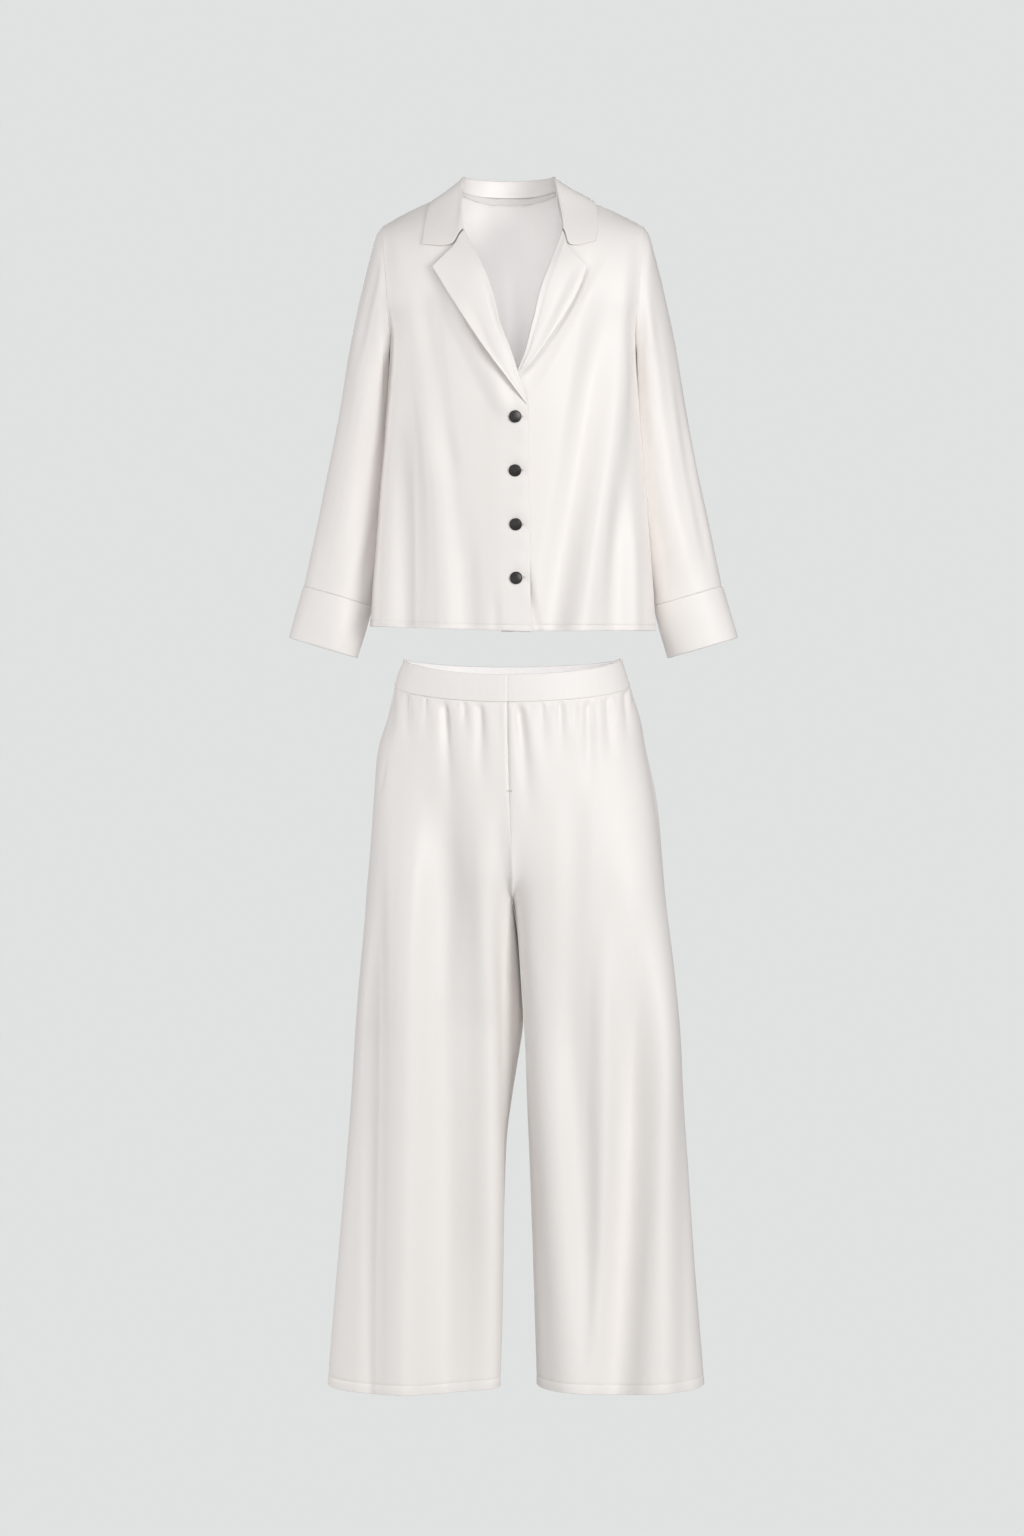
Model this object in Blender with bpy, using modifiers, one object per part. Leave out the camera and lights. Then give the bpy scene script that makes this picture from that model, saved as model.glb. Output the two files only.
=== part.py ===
"""A two-piece pyjama set: a notched-collar jacket above a pair of wide-leg trousers.

Both garments keep the hollow shape that a wearer gives them, with nobody inside: the neck, cuffs,
waist and hems are open. Every piece of cloth that a maker would cut is its own solid, a wall of
cloth that meets its neighbours at the seams.

Frame: +X is the viewer's right, -Y is the front, +Z is up. The origin is where the wearer's
shoulders carry the jacket: in the middle, level with the neck seam. All sizes in the tables are
millimetres. "side" is -1 for the viewer's left and +1 for the right, and "out" is a distance from
x = 0 towards that side.
"""

import math
from collections import namedtuple

import bmesh
import bpy
from mathutils import Vector
from mathutils.bvhtree import BVHTree

MM = 0.001
LEFT, RIGHT = -1, 1
FRONT, BACK = -1, 1

# ---------------------------------------------------------------- driving sizes
CLOTH = 1.5  # wall of one layer of cloth
SEAM = 0.4  # gap between two pieces at a seam
UNDERARM_Z = -205.0
NECK_Z = 20.0  # height of the neck point, where the shoulder seam starts
NECK_Y = 4.0
NECK_HALF = 66.0
NAPE_Y = 66.0  # the neck seam at the middle of the back
NAPE_Z = 11.0
GORGE_Z = -38.0  # where the collar's roll line becomes the lapel's
SHOULDER_ARCH = 5.0
SIDE_Y = 12.0  # the jacket's side seams
OVERLAP_LIFT = 2.8  # how far the upper front rides above the lower one

FRONT_COLUMNS = 16
BACK_COLUMNS = 14  # from the middle to one side
NECK_COLUMNS = 5  # of those, how many end at the neck seam
ARM_ROWS = 9  # rows from underarm to shoulder
BODY_LEVELS = (-597, -560, -515, -465, -410, -350, -300, -272, -240, UNDERARM_Z)
SLEEVE_ROWS = 13
LEG_COLUMNS = 20

# ---------------------------------------------------------------- jacket tables
Body = namedtuple("Body", "z half_width front back")
BODY = (
    Body(-600, 200, 100, 93),
    Body(-543, 197, 101, 92),
    Body(-473, 192, 103, 91),
    Body(-403, 187, 107, 91),
    Body(-333, 181, 111, 93),
    Body(-263, 176, 114, 96),
    Body(-193, 171, 113, 99),
    Body(-150, 170, 109, 101),
    Body(-100, 169, 97, 101),
    Body(-60, 169, 79, 97),
    Body(-36, 169, 62, 92),
    Body(-8, 169, 33, 82),
    Body(20, 169, -4, 66),
)

# Where each front ends: the straight closing edge, the line on which the lapel rolls, and the
# neck seam. "out" is counted from the garment's middle line, and is less than 0 past it.
Edge = namedtuple("Edge", "z out")
FRONT_EDGE = (
    Edge(-600, -19.5),
    Edge(-320, -18.5),
    Edge(-280, -16.5),
    Edge(-241, -2),
    Edge(-213, 7),
    Edge(-165, 19.5),
    Edge(-123, 32.5),
    Edge(-81, 50),
    Edge(-38, 69),
    Edge(0, 68),
    Edge(20, NECK_HALF),
)

# The middle line wanders a little from x = 0, because the closing pulls on the neck.
Middle = namedtuple("Middle", "z x")
MIDDLE = (
    Middle(-600, 4.5),
    Middle(-448, 3.5),
    Middle(-300, 2.5),
    Middle(-213, 6.5),
    Middle(-165, 4.5),
    Middle(-81, 3.5),
    Middle(-38, 0),
    Middle(0, -4.5),
    Middle(40, -7),
)

Lapel = namedtuple("Lapel", "roll_z edge_x edge_z lift")
LAPEL = {
    LEFT: (
        Lapel(-272, 12, -270, 0.2),
        Lapel(-246, -8, -242, 2.6),
        Lapel(-205, -36, -206, 3.6),
        Lapel(-160, -64, -165, 4.0),
        Lapel(-110, -92, -123, 4.0),
        Lapel(-38, -113, -88, 3.0),
    ),
    RIGHT: (
        Lapel(-236, 14, -237, 0.4),
        Lapel(-214, 34, -212, 2.0),
        Lapel(-178, 62, -171, 3.2),
        Lapel(-140, 80, -143, 3.8),
        Lapel(-95, 94, -115, 3.8),
        Lapel(-40, 104, -88, 3.0),
    ),
}
NOTCH = {LEFT: (-85, -61), RIGHT: (78, -62)}  # x and z where collar and lapel part
COLLAR_POINT = {LEFT: (-126, -58), RIGHT: (114, -53)}
LAPEL_ROWS = 12
LAPEL_COLUMNS = 8

# The collar, from the nape (at = 0) past the neck point (at = 0.5) to the gorge (at = 1): its
# stand, how far the fold leans out, and where the outer edge of the fall lies.
Collar = namedtuple("Collar", "at stand lean edge_out edge_y edge_z")
COLLAR = (
    Collar(0.0, 23, 2, 0, 98, -13),
    Collar(0.17, 23, 1, 42, 92, -12),
    Collar(0.33, 22, -1, 82, 64, -4),
    Collar(0.5, 21, -3, 110, 12, 12),
    Collar(0.68, 15, -2, 118, -18, -10),
    Collar(0.85, 8, -1, 120, -42, -36),
    Collar(1.0, 3, 0, 122, -55, -57),
)
COLLAR_ROWS = 14  # from the nape to one gorge
COLLAR_LIFT = 3.3  # how far the fall's middle layer clears the body under it
TAPE_WIDTH = 10.0

Sleeve = namedtuple("Sleeve", "outer_x outer_z inner_x inner_z half_depth centre_y")
SLEEVE = (
    Sleeve(183, -30, 171, UNDERARM_Z, 62, SIDE_Y),
    Sleeve(192, -44, 173, -213, 63, 17),
    Sleeve(200, -72, 174.5, -224, 63, 24),
    Sleeve(210, -113, 176, -240, 62, 32),
    Sleeve(221, -163, 177, -264, 60, 39),
    Sleeve(232, -221, 177.5, -300, 58, 44),
    Sleeve(242, -281, 178.5, -346, 56, 47),
    Sleeve(253, -341, 181, -397, 54, 48),
    Sleeve(265, -400, 185, -449, 52, 48),
    Sleeve(278, -462, 190.5, -503, 49, 46),
    Sleeve(293, -533, 198, -561, 45, 43),
)
CUFF = (
    Sleeve(293, -533, 198, -561, 45, 43),
    Sleeve(303, -569, 207, -597, 45, 42),
    Sleeve(313, -606, 218, -634, 43, 41),
)
CUFF_WALL = 2.4  # doubled cloth, half of it outside the sleeve's own surface

BUTTON_Z = (-298.0, -373.0, -448.0, -523.0)
BUTTON_RADIUS = 8.8
BUTTON_HEIGHT = 4.4

# ---------------------------------------------------------------- trouser tables
TROUSER_SIDE_Y = 5.0
CROTCH_Z = -975.0
CROTCH_RISE = 105.0  # height over which the middle seam curves under
Level = namedtuple("Level", "middle side")
TROUSER_LEVELS = {
    FRONT: (
        Level(-696, -673),
        Level(-703, -680),
        Level(-722, -702),
        Level(-745, -732),
        Level(-785, -780),
        Level(-830, -828),
        Level(-870, -870),
    ),
    BACK: (
        Level(-684, -673),
        Level(-691, -680),
        Level(-712, -702),
        Level(-740, -732),
        Level(-785, -780),
        Level(-830, -828),
        Level(-870, -870),
    ),
}
CROTCH_ROWS = 5
LEG_LEVELS = (-1015, -1075, -1140, -1210, -1300, -1390, -1480, -1570, -1646)
HEM_DROP = 14.0  # how much lower each leg's hem hangs in front than at its seams

# "square" is how full a section's outer quarter is: 2 is an ellipse, more is squarer.
Hip = namedtuple("Hip", "z middle_x left right front back square")
HIP = (
    Hip(-630, -8, 149, 149, 84, 88, 2.0),
    Hip(-673, -8, 165, 163, 89, 97, 2.0),
    Hip(-722, -8, 176, 179, 92, 107, 2.1),
    Hip(-765, -7, 188, 187, 93, 113, 2.2),
    Hip(-835, -5, 195, 202, 93, 113, 2.5),
    Hip(-905, -2, 200, 208, 92, 108, 2.6),
    Hip(-975, -1, 206, 213, 90, 100, 2.6),
)

# "cleft" is the same for the inner quarter, which is squarest where the legs part.
Leg = namedtuple("Leg", "z inner outer front back square cleft")
LEG = {
    LEFT: (
        Leg(-975, 1, 206, 90, 100, 2.6, 4.0),
        Leg(-1015, -6, 209, 88, 95, 2.5, 3.4),
        Leg(-1100, -12, 217, 84, 87, 2.4, 2.9),
        Leg(-1140, -14, 220, 81, 83, 2.4, 2.6),
        Leg(-1169, -11, 222, 79, 80, 2.3, 2.5),
        Leg(-1239, 0, 226, 74, 75, 2.3, 2.4),
        Leg(-1309, 9, 231, 70, 71, 2.2, 2.3),
        Leg(-1435, 14, 241, 66, 67, 2.2, 2.2),
        Leg(-1603, 25, 255, 64, 64, 2.1, 2.1),
        Leg(-1660, 28, 259, 64, 64, 2.1, 2.1),
    ),
    RIGHT: (
        Leg(-975, -1, 213, 90, 100, 2.6, 4.0),
        Leg(-1015, 7, 217, 88, 95, 2.5, 3.4),
        Leg(-1100, 13, 225, 84, 87, 2.4, 2.9),
        Leg(-1169, 17, 233, 79, 80, 2.3, 2.5),
        Leg(-1253, 20, 238, 74, 75, 2.3, 2.4),
        Leg(-1351, 24, 245, 69, 70, 2.2, 2.3),
        Leg(-1477, 28, 254, 65, 65, 2.1, 2.2),
        Leg(-1603, 32, 264, 64, 64, 2.1, 2.1),
        Leg(-1660, 34, 268, 64, 64, 2.1, 2.1),
    ),
}

WAISTBAND_WALL = 2.6
Band = namedtuple("Band", "middle_top side_top middle_seam side_seam")
BAND = {FRONT: Band(-657, -634, -696, -673), BACK: Band(-646, -634, -684, -673)}
BAND_COLUMNS = 14  # from the middle to one side

# ---------------------------------------------------------------- folds
# A fold runs down a piece: "at_top" and "at_foot" are its places across the piece, from 0 at the
# inner edge to 1 at the side. It dies away towards the heights "top" and "foot", "width" is the
# half of it across the piece, and a positive depth stands out while a negative one sinks in.
Fold = namedtuple("Fold", "at_top at_foot top foot width depth")
FRONT_FOLDS = {
    LEFT: (
        Fold(0.86, -0.10, -110, -1000, 0.16, -7),
        Fold(0.98, 0.14, -90, -1000, 0.16, 6),
        Fold(0.50, 0.04, -150, -1000, 0.12, 5),
        Fold(0.92, 0.52, -230, -1000, 0.12, -7),
        Fold(0.80, 0.78, -300, -1000, 0.10, 6),
    ),
    RIGHT: (
        Fold(0.82, 0.52, -60, -1000, 0.14, -8),
        Fold(0.62, 0.34, -100, -1000, 0.13, 6),
        Fold(0.30, 0.20, -260, -1000, 0.10, -5),
        Fold(0.84, 0.72, -280, -1000, 0.11, 6),
    ),
}
BACK_FOLDS = {
    LEFT: (
        Fold(0.34, 0.40, -60, -1000, 0.13, -7),
        Fold(0.62, 0.66, -90, -1000, 0.13, 7),
        Fold(0.82, 0.84, -140, -1000, 0.11, -6),
    ),
    RIGHT: (
        Fold(0.26, 0.30, -90, -1000, 0.13, 6),
        Fold(0.50, 0.56, -60, -1000, 0.13, -7),
        Fold(0.76, 0.80, -140, -1000, 0.12, 6),
    ),
}
SLEEVE_FOLDS = (
    Fold(0.17, 0.19, -40, -640, 0.09, 5),
    Fold(0.30, 0.32, -60, -640, 0.08, -5),
    Fold(0.68, 0.70, -40, -640, 0.09, 5),
    Fold(0.82, 0.84, -60, -640, 0.08, -5),
)
LEG_FOLDS = {
    (FRONT, LEFT): (
        Fold(0.42, 0.20, -700, -2600, 0.13, -12),
        Fold(0.62, 0.42, -700, -2600, 0.14, 8),
        Fold(0.82, 0.70, -760, -2600, 0.12, -11),
        Fold(0.12, 0.06, -860, -2600, 0.08, 6),
    ),
    (FRONT, RIGHT): (
        Fold(0.12, 0.40, -690, -1250, 0.13, -7),
        Fold(0.56, 0.50, -740, -1500, 0.13, -8),
        Fold(0.46, 0.27, -1000, -2600, 0.13, 9),
        Fold(0.74, 0.58, -1100, -2600, 0.13, -11),
        Fold(0.90, 0.78, -900, -2600, 0.11, 6),
    ),
    (BACK, LEFT): (
        Fold(0.30, 0.22, -780, -2600, 0.13, -11),
        Fold(0.52, 0.44, -720, -2600, 0.14, 9),
        Fold(0.78, 0.70, -760, -2600, 0.13, -11),
    ),
    (BACK, RIGHT): (
        Fold(0.34, 0.26, -760, -2600, 0.13, -11),
        Fold(0.60, 0.52, -720, -2600, 0.14, 9),
        Fold(0.80, 0.74, -780, -2600, 0.12, -9),
    ),
}
# Gathers hang from the waistband: place across the piece, half width and depth.
Gather = namedtuple("Gather", "at width depth foot")
GATHERS = {
    (FRONT, LEFT): (
        Gather(0.09, 0.06, -2.5, -790),
        Gather(0.25, 0.07, -5.5, -860),
        Gather(0.44, 0.06, -3.5, -780),
        Gather(0.58, 0.05, -3.0, -760),
        Gather(0.74, 0.06, -2.5, -770),
    ),
    (FRONT, RIGHT): (
        Gather(0.13, 0.07, -5.0, -830),
        Gather(0.27, 0.05, -2.5, -760),
        Gather(0.38, 0.05, -3.0, -780),
        Gather(0.60, 0.06, -3.0, -760),
        Gather(0.78, 0.06, -3.0, -790),
    ),
    (BACK, LEFT): (
        Gather(0.12, 0.06, -4.0, -790),
        Gather(0.30, 0.06, -5.0, -830),
        Gather(0.48, 0.06, -4.0, -780),
        Gather(0.68, 0.06, -4.0, -800),
    ),
    (BACK, RIGHT): (
        Gather(0.16, 0.06, -4.0, -800),
        Gather(0.36, 0.06, -5.0, -820),
        Gather(0.54, 0.06, -4.0, -780),
        Gather(0.72, 0.06, -4.0, -790),
    ),
}


# ================================================================ small tools
def mix(a, b, t):
    return a + (b - a) * t


def ease(t):
    t = min(1.0, max(0.0, t))
    return t * t * (3 - 2 * t)


def curve(table, at, column):
    """A smooth curve through one column of a table, over the table's first column."""
    rows = sorted(table)
    places = [row[0] for row in rows]
    values = [getattr(row, column) for row in rows]
    if at <= places[0]:
        return values[0]
    if at >= places[-1]:
        return values[-1]
    k = next(i for i in range(len(rows) - 1) if places[i + 1] >= at)

    def slope(i):
        a, b = max(i - 1, 0), min(i + 1, len(rows) - 1)
        return (values[b] - values[a]) / (places[b] - places[a])

    step = places[k + 1] - places[k]
    t = (at - places[k]) / step
    rise = values[k + 1] - values[k]
    start, end = slope(k) * step, slope(k + 1) * step
    bend = 3 * rise - 2 * start - end
    return values[k] + t * (start + t * (bend + t * (start + end - 2 * rise)))


def spaced(table, t):
    """A row of the table's kind, t of the way from its first row to its last."""
    kind = type(table[0])
    numbered = namedtuple("Numbered", ("place", *kind._fields))
    rows = [numbered(i, *row) for i, row in enumerate(table)]
    place = t * (len(table) - 1)
    return kind(*(curve(rows, place, name) for name in kind._fields))


def bump(away, width):
    return 0.5 + 0.5 * math.cos(math.pi * away / width) if abs(away) < width else 0.0


def fold_height(folds, u, z):
    """How far the folds move the cloth out, at a place across the piece and a height."""
    total = 0.0
    for fold in folds:
        t = (fold.top - z) / (fold.top - fold.foot)
        if 0 < t < 1:
            place = mix(fold.at_top, fold.at_foot, min(1, t * 2))
            strength = ease(min(t * 4, (1 - t) * 2.5))
            total += fold.depth * strength * bump(u - place, fold.width)
    return total


def gather_height(gathers, u, z, seam_z):
    """The gathers start just under the waistband and die away down the piece."""
    total = 0.0
    for gather in gathers:
        strength = ease((seam_z - z) / 16) * (1 - ease((seam_z - z) / (seam_z - gather.foot)))
        total += gather.depth * strength * bump(u - gather.at, gather.width)
    return total


# ================================================================ pieces of cloth
class Piece:
    """A grid of points on the face of a piece of cloth, row by row."""

    def __init__(self, name, rows, closed=False):
        self.name = name
        self.rows = rows
        self.closed = closed  # whether each row runs round a tube
        self.ways = {}  # direction of the wall at a grid point, where a seam sets it

    def cells(self):
        across = len(self.rows[0])
        for r in range(len(self.rows) - 1):
            for c in range(across if self.closed else across - 1):
                d = (c + 1) % across
                yield (r, c), (r, d), (r + 1, d), (r + 1, c)

    def triangles(self):
        """Each cell cut along its shorter diagonal, so that both faces of a wall bend alike."""
        for cell in self.cells():
            a, b, c, d = cell
            pa, pb, pc, pd = (self.rows[r][k] for r, k in cell)
            if (pc - pa).length < (pd - pb).length:
                yield a, b, c
                yield a, c, d
            else:
                yield a, b, d
                yield b, c, d

    def normals(self):
        """The cloth's own direction at each grid point."""
        total = [[Vector((0, 0, 0)) for _ in row] for row in self.rows]
        for cell in self.cells():
            a, b, c, d = (self.rows[r][k] for r, k in cell)
            normal = (c - a).cross(d - b)
            for r, k in cell:
                total[r][k] += normal
        return [[normal.normalized() for normal in row] for row in total]


def facing(piece, row, column, way):
    """Turns the piece's rows round, if need be, so that it faces the given way."""
    if piece.normals()[row][column].dot(Vector(way)) < 0:
        piece.rows = [list(reversed(row)) for row in piece.rows]
    return piece


def match_seams(pieces):
    """Where pieces share a point, their walls lean the same way and so meet without crossing.
    A piece that faces quite another way there, as a sleeve does under the arm, keeps its own."""
    meeting = {}
    for piece in pieces:
        normals = piece.normals()
        for r, row in enumerate(piece.rows):
            for c, point in enumerate(row):
                place = tuple(round(value * 20) for value in point)
                meeting.setdefault(place, []).append((piece, r, c, normals[r][c]))
    for group in meeting.values():
        if len({id(piece) for piece, *_ in group}) > 1:
            for piece, r, c, own in group:
                near = [other for *_, other in group if other.dot(own) > 0.2]
                piece.ways[r, c] = sum(near, Vector((0, 0, 0))).normalized()


def drawn_back(piece):
    """The piece's rows with every free edge drawn back by half a seam's gap."""
    rows = piece.rows
    last, end = len(rows) - 1, len(rows[0]) - 1

    def shift(point, inner):
        step = inner - point
        return step.normalized() * min(SEAM / 2, step.length * 0.4)

    moved = [list(row) for row in rows]
    for c in range(end + 1):
        moved[0][c] = rows[0][c] + shift(rows[0][c], rows[1][c])
        moved[last][c] = rows[last][c] + shift(rows[last][c], rows[last - 1][c])
    if not piece.closed:
        for r in range(last + 1):
            moved[r][0] = moved[r][0] + shift(rows[r][0], rows[r][1])
            moved[r][end] = moved[r][end] + shift(rows[r][end], rows[r][end - 1])
    return moved


def material(name, colour, roughness, coat=0.0):
    look = bpy.data.materials.new(name)
    look.use_nodes = True
    shader = look.node_tree.nodes["Principled BSDF"]
    shader.inputs["Base Color"].default_value = (*colour, 1)
    shader.inputs["Roughness"].default_value = roughness
    shader.inputs["Coat Weight"].default_value = coat
    return look


def add(name, mesh, collection, look):
    obj = bpy.data.objects.new(name, mesh)
    mesh.materials.append(look)
    collection.objects.link(obj)
    return obj


def finished(mesh_name, mesh, angle=50):
    bmesh.ops.recalc_face_normals(mesh, faces=mesh.faces)
    data = bpy.data.meshes.new(mesh_name)
    mesh.to_mesh(data)
    mesh.free()
    data.shade_smooth()
    data.set_sharp_from_angle(angle=math.radians(angle))
    return data


def seamed_wall(piece, collection, look, thickness=CLOTH):
    """A wall of cloth inward from the piece's face, its edges mitred to the next piece."""
    mesh = bmesh.new()
    face_rows = drawn_back(piece)
    own = piece.normals()
    outer, inner = [], []
    for r, row in enumerate(face_rows):
        outer.append([mesh.verts.new(point * MM) for point in row])
        lining = []
        for c, point in enumerate(row):
            way = piece.ways.get((r, c), own[r][c])
            reach = thickness / max(0.72, way.dot(own[r][c]))
            lining.append(mesh.verts.new((point - way * reach) * MM))
        inner.append(lining)
    for corners in piece.triangles():
        mesh.faces.new([outer[r][c] for r, c in corners])
        mesh.faces.new([inner[r][c] for r, c in reversed(corners)])
    last, across = len(outer) - 1, len(outer[0])
    for c in range(across if piece.closed else across - 1):
        d = (c + 1) % across
        mesh.faces.new((outer[0][d], outer[0][c], inner[0][c], inner[0][d]))
        mesh.faces.new((outer[last][c], outer[last][d], inner[last][d], inner[last][c]))
    if not piece.closed:
        for r in range(last):
            mesh.faces.new((outer[r][0], outer[r + 1][0], inner[r + 1][0], inner[r][0]))
            mesh.faces.new((outer[r + 1][-1], outer[r][-1], inner[r][-1], inner[r + 1][-1]))
    return add(piece.name, finished(piece.name, mesh), collection, look)


def even_wall(piece, collection, look, thickness=CLOTH, offset=0.0):
    """A wall of cloth that meets no other at a slant: an open surface with Solidify."""
    mesh = bmesh.new()
    rows = [[mesh.verts.new(point * MM) for point in row] for row in drawn_back(piece)]
    for corners in piece.triangles():
        mesh.faces.new([rows[r][c] for r, c in corners])
    data = bpy.data.meshes.new(piece.name)
    mesh.to_mesh(data)
    mesh.free()
    data.shade_smooth()
    obj = add(piece.name, data, collection, look)
    wall = obj.modifiers.new("cloth", "SOLIDIFY")
    wall.thickness = thickness * MM
    wall.offset = offset
    return obj


# ================================================================ jacket body
def middle_x(z):
    return curve(MIDDLE, z, "x")


def front_edge_out(side, z):
    return curve(FRONT_EDGE, z, "out") + side * middle_x(z)


def armhole(side, angle):
    """A point on the armhole: 0 at the shoulder, round the front to pi at the underarm."""
    top = SLEEVE[0]
    centre = Vector(((top.outer_x + top.inner_x) / 2, top.centre_y, (top.outer_z + top.inner_z) / 2))
    lean = Vector(((top.outer_x - top.inner_x) / 2, 0, (top.outer_z - top.inner_z) / 2))
    point = centre + lean * math.cos(angle)
    point.y -= top.half_depth * math.sin(angle)
    point.x *= side
    return point


def side_seam(side, z):
    """The side seam, whose hem hangs a little higher at the viewer's left."""
    lift = (8 if side == LEFT else 2) * ease((-480 - z) / 117)
    return Vector((side * curve(BODY, z, "half_width"), SIDE_Y, z + lift))


def body_row(side, inner_out, inner_z, outer, depth, end_angle, columns):
    """A row of points from the inner edge round to the side, on the arc of an ellipse."""
    reach = abs(outer.x)
    width = reach / math.sin(end_angle)
    centre = (outer.y - depth * math.cos(end_angle)) / (1 - math.cos(end_angle))
    start = math.asin(inner_out / width)
    row = []
    for c in range(columns + 1):
        angle = mix(start, end_angle, c / columns)
        out = width * math.sin(angle)
        across = (out - inner_out) / (reach - inner_out)
        y = centre + (depth - centre) * math.cos(angle)
        row.append(Vector((side * out, y, mix(inner_z, outer.z, across))))
    return row


def shoulder_seam(side, t):
    """The shoulder seam, from the neck point (0) to the armhole (1)."""
    neck = Vector((middle_x(NECK_Z) + side * NECK_HALF, NECK_Y, NECK_Z))
    point = neck.lerp(armhole(side, 0), t)
    point.z += SHOULDER_ARCH * math.sin(math.pi * t)
    return point


def back_neck(side, t):
    """The back's neck seam, from the nape (0) to the neck point (1)."""
    turn = t * math.pi / 2
    x = mix(middle_x(NAPE_Z), middle_x(NECK_Z), t) + side * NECK_HALF * math.sin(turn)
    return Vector((x, NECK_Y + (NAPE_Y - NECK_Y) * math.cos(turn), mix(NAPE_Z, NECK_Z, t * t)))


def to_top(rows, top_row, first):
    """Bends the rows from "first" up, so that the last one becomes the top row."""
    last = len(rows) - 1
    shifts = [goal - point for goal, point in zip(top_row, rows[last])]
    for r in range(first, last + 1):
        weight = ease((r - first) / (last - first))
        rows[r] = [point + shift * weight for point, shift in zip(rows[r], shifts)]
    rows[last] = list(top_row)


def arm_end_angle(t, outer, depth):
    """Where on the ellipse a row ends: at its side below the arm, sooner at the armhole."""
    level = min(0.66, (outer.y - SIDE_Y) / (depth - SIDE_Y)) if t < 0.68 else 0.66
    return math.acos(max(0.0, level))


def push_folds(row, heights):
    """Moves the points of a row out from the body by the given heights."""
    moved = []
    for c, (point, height) in enumerate(zip(row, heights)):
        before, after = row[max(c - 1, 0)], row[min(c + 1, len(row) - 1)]
        along = after - before
        way = Vector((along.y, -along.x, 0)).normalized()
        if way.dot(Vector((point.x, point.y - SIDE_Y, 0))) < 0:
            way = -way
        moved.append(point + way * height)
    return moved


def front_piece(side):
    lowest = len(BODY_LEVELS) - 1
    columns = FRONT_COLUMNS
    rows, fold_rows = [], []
    for k in range(lowest + ARM_ROWS + 1):
        t = max(0.0, (k - lowest) / ARM_ROWS)
        inner_z = BODY_LEVELS[k] if k < lowest else mix(UNDERARM_Z, NECK_Z, t)
        outer = side_seam(side, inner_z) if k < lowest else armhole(side, math.pi * (1 - t))
        inner_out = front_edge_out(side, inner_z)
        depth = -curve(BODY, inner_z, "front")
        row = body_row(side, inner_out, inner_z, outer, depth, arm_end_angle(t, outer, depth), columns)
        rows.append(row)
        heights = []
        for c, point in enumerate(row):
            across = (side * point.x - inner_out) / (abs(outer.x) - inner_out)
            height = fold_height(FRONT_FOLDS[side], across, inner_z) * ease(6 * (1 - across))
            height *= ease((-40 - inner_z) / 80) * ease((side * point.x - inner_out - 30) / 45)
            if side == LEFT:
                lift = ease((45 - side * point.x) / 30) * ease((-150 - inner_z) / 60)
                height += OVERLAP_LIFT * lift
            heights.append(height)
        fold_rows.append(heights)
    top = [shoulder_seam(side, c / columns) for c in range(columns + 1)]
    to_top(rows, top, lowest + ARM_ROWS - 4)
    rows = [push_folds(row, heights) for row, heights in zip(rows, fold_rows)]
    name = "front_left" if side == LEFT else "front_right"
    piece = facing(Piece(name, rows), 3, columns // 2, (0, -1, 0))
    return piece


def back_piece():
    lowest = len(BODY_LEVELS) - 1
    columns = BACK_COLUMNS
    halves = {}
    for side in (LEFT, RIGHT):
        rows, fold_rows = [], []
        for k in range(lowest + ARM_ROWS + 1):
            t = max(0.0, (k - lowest) / ARM_ROWS)
            inner_z = BODY_LEVELS[k] if k < lowest else mix(UNDERARM_Z, NAPE_Z, t)
            outer = side_seam(side, inner_z) if k < lowest else armhole(side, math.pi * (1 + t))
            inner_z += 5 * ease((-480 - inner_z) / 117)
            depth = curve(BODY, inner_z, "back")
            row = body_row(side, 0, inner_z, outer, depth, arm_end_angle(t, outer, depth), columns)
            rows.append(row)
            heights = []
            for c in range(columns + 1):
                across = abs(row[c].x / outer.x)
                height = fold_height(BACK_FOLDS[side], across, inner_z) * ease(5 * (1 - across) - 0.2)
                heights.append(height * ease((-40 - inner_z) / 80) * ease(6 * across))
            fold_rows.append(heights)
        top = [back_neck(side, c / NECK_COLUMNS) for c in range(NECK_COLUMNS)]
        rest = columns - NECK_COLUMNS
        top += [shoulder_seam(side, c / rest) for c in range(rest + 1)]
        to_top(rows, top, lowest + ARM_ROWS - 4)
        halves[side] = [push_folds(row, heights) for row, heights in zip(rows, fold_rows)]
    rows = [list(reversed(a)) + b[1:] for a, b in zip(halves[LEFT], halves[RIGHT])]
    return facing(Piece("back", rows), 3, columns, (0, 1, 0))


def lean_shoulders(piece, neck_half=NECK_HALF - 8):
    """The walls that meet at a shoulder seam all stand square to the shoulder."""
    last = len(piece.rows) - 1
    for c, point in enumerate(piece.rows[last]):
        side = RIGHT if point.x > 0 else LEFT
        on_seam = side * (point.x - middle_x(NECK_Z)) > neck_half
        if on_seam and abs(point.x) < SLEEVE[0].outer_x - 1:
            piece.ways[last, c] = Vector((side * 0.36, -0.06, 0.93)).normalized()


def level_edge(piece, row):
    """The wall along this row of the piece lies level, so that a band can sit square on it."""
    own = piece.normals()[row]
    for c, normal in enumerate(own):
        way = piece.ways.get((row, c), normal)
        piece.ways[row, c] = Vector((way.x, way.y, 0)).normalized()


# ================================================================ sleeves and cuffs
def tube_row(side, place, columns):
    middle = Vector(((place.outer_x + place.inner_x) / 2, place.centre_y, (place.outer_z + place.inner_z) / 2))
    lean = Vector(((place.outer_x - place.inner_x) / 2, 0, (place.outer_z - place.inner_z) / 2))
    row = []
    for c in range(columns):
        angle = 2 * math.pi * c / columns
        point = middle + lean * math.cos(angle)
        point.y -= place.half_depth * math.sin(angle)
        point.x *= side
        row.append(point)
    return row


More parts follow.
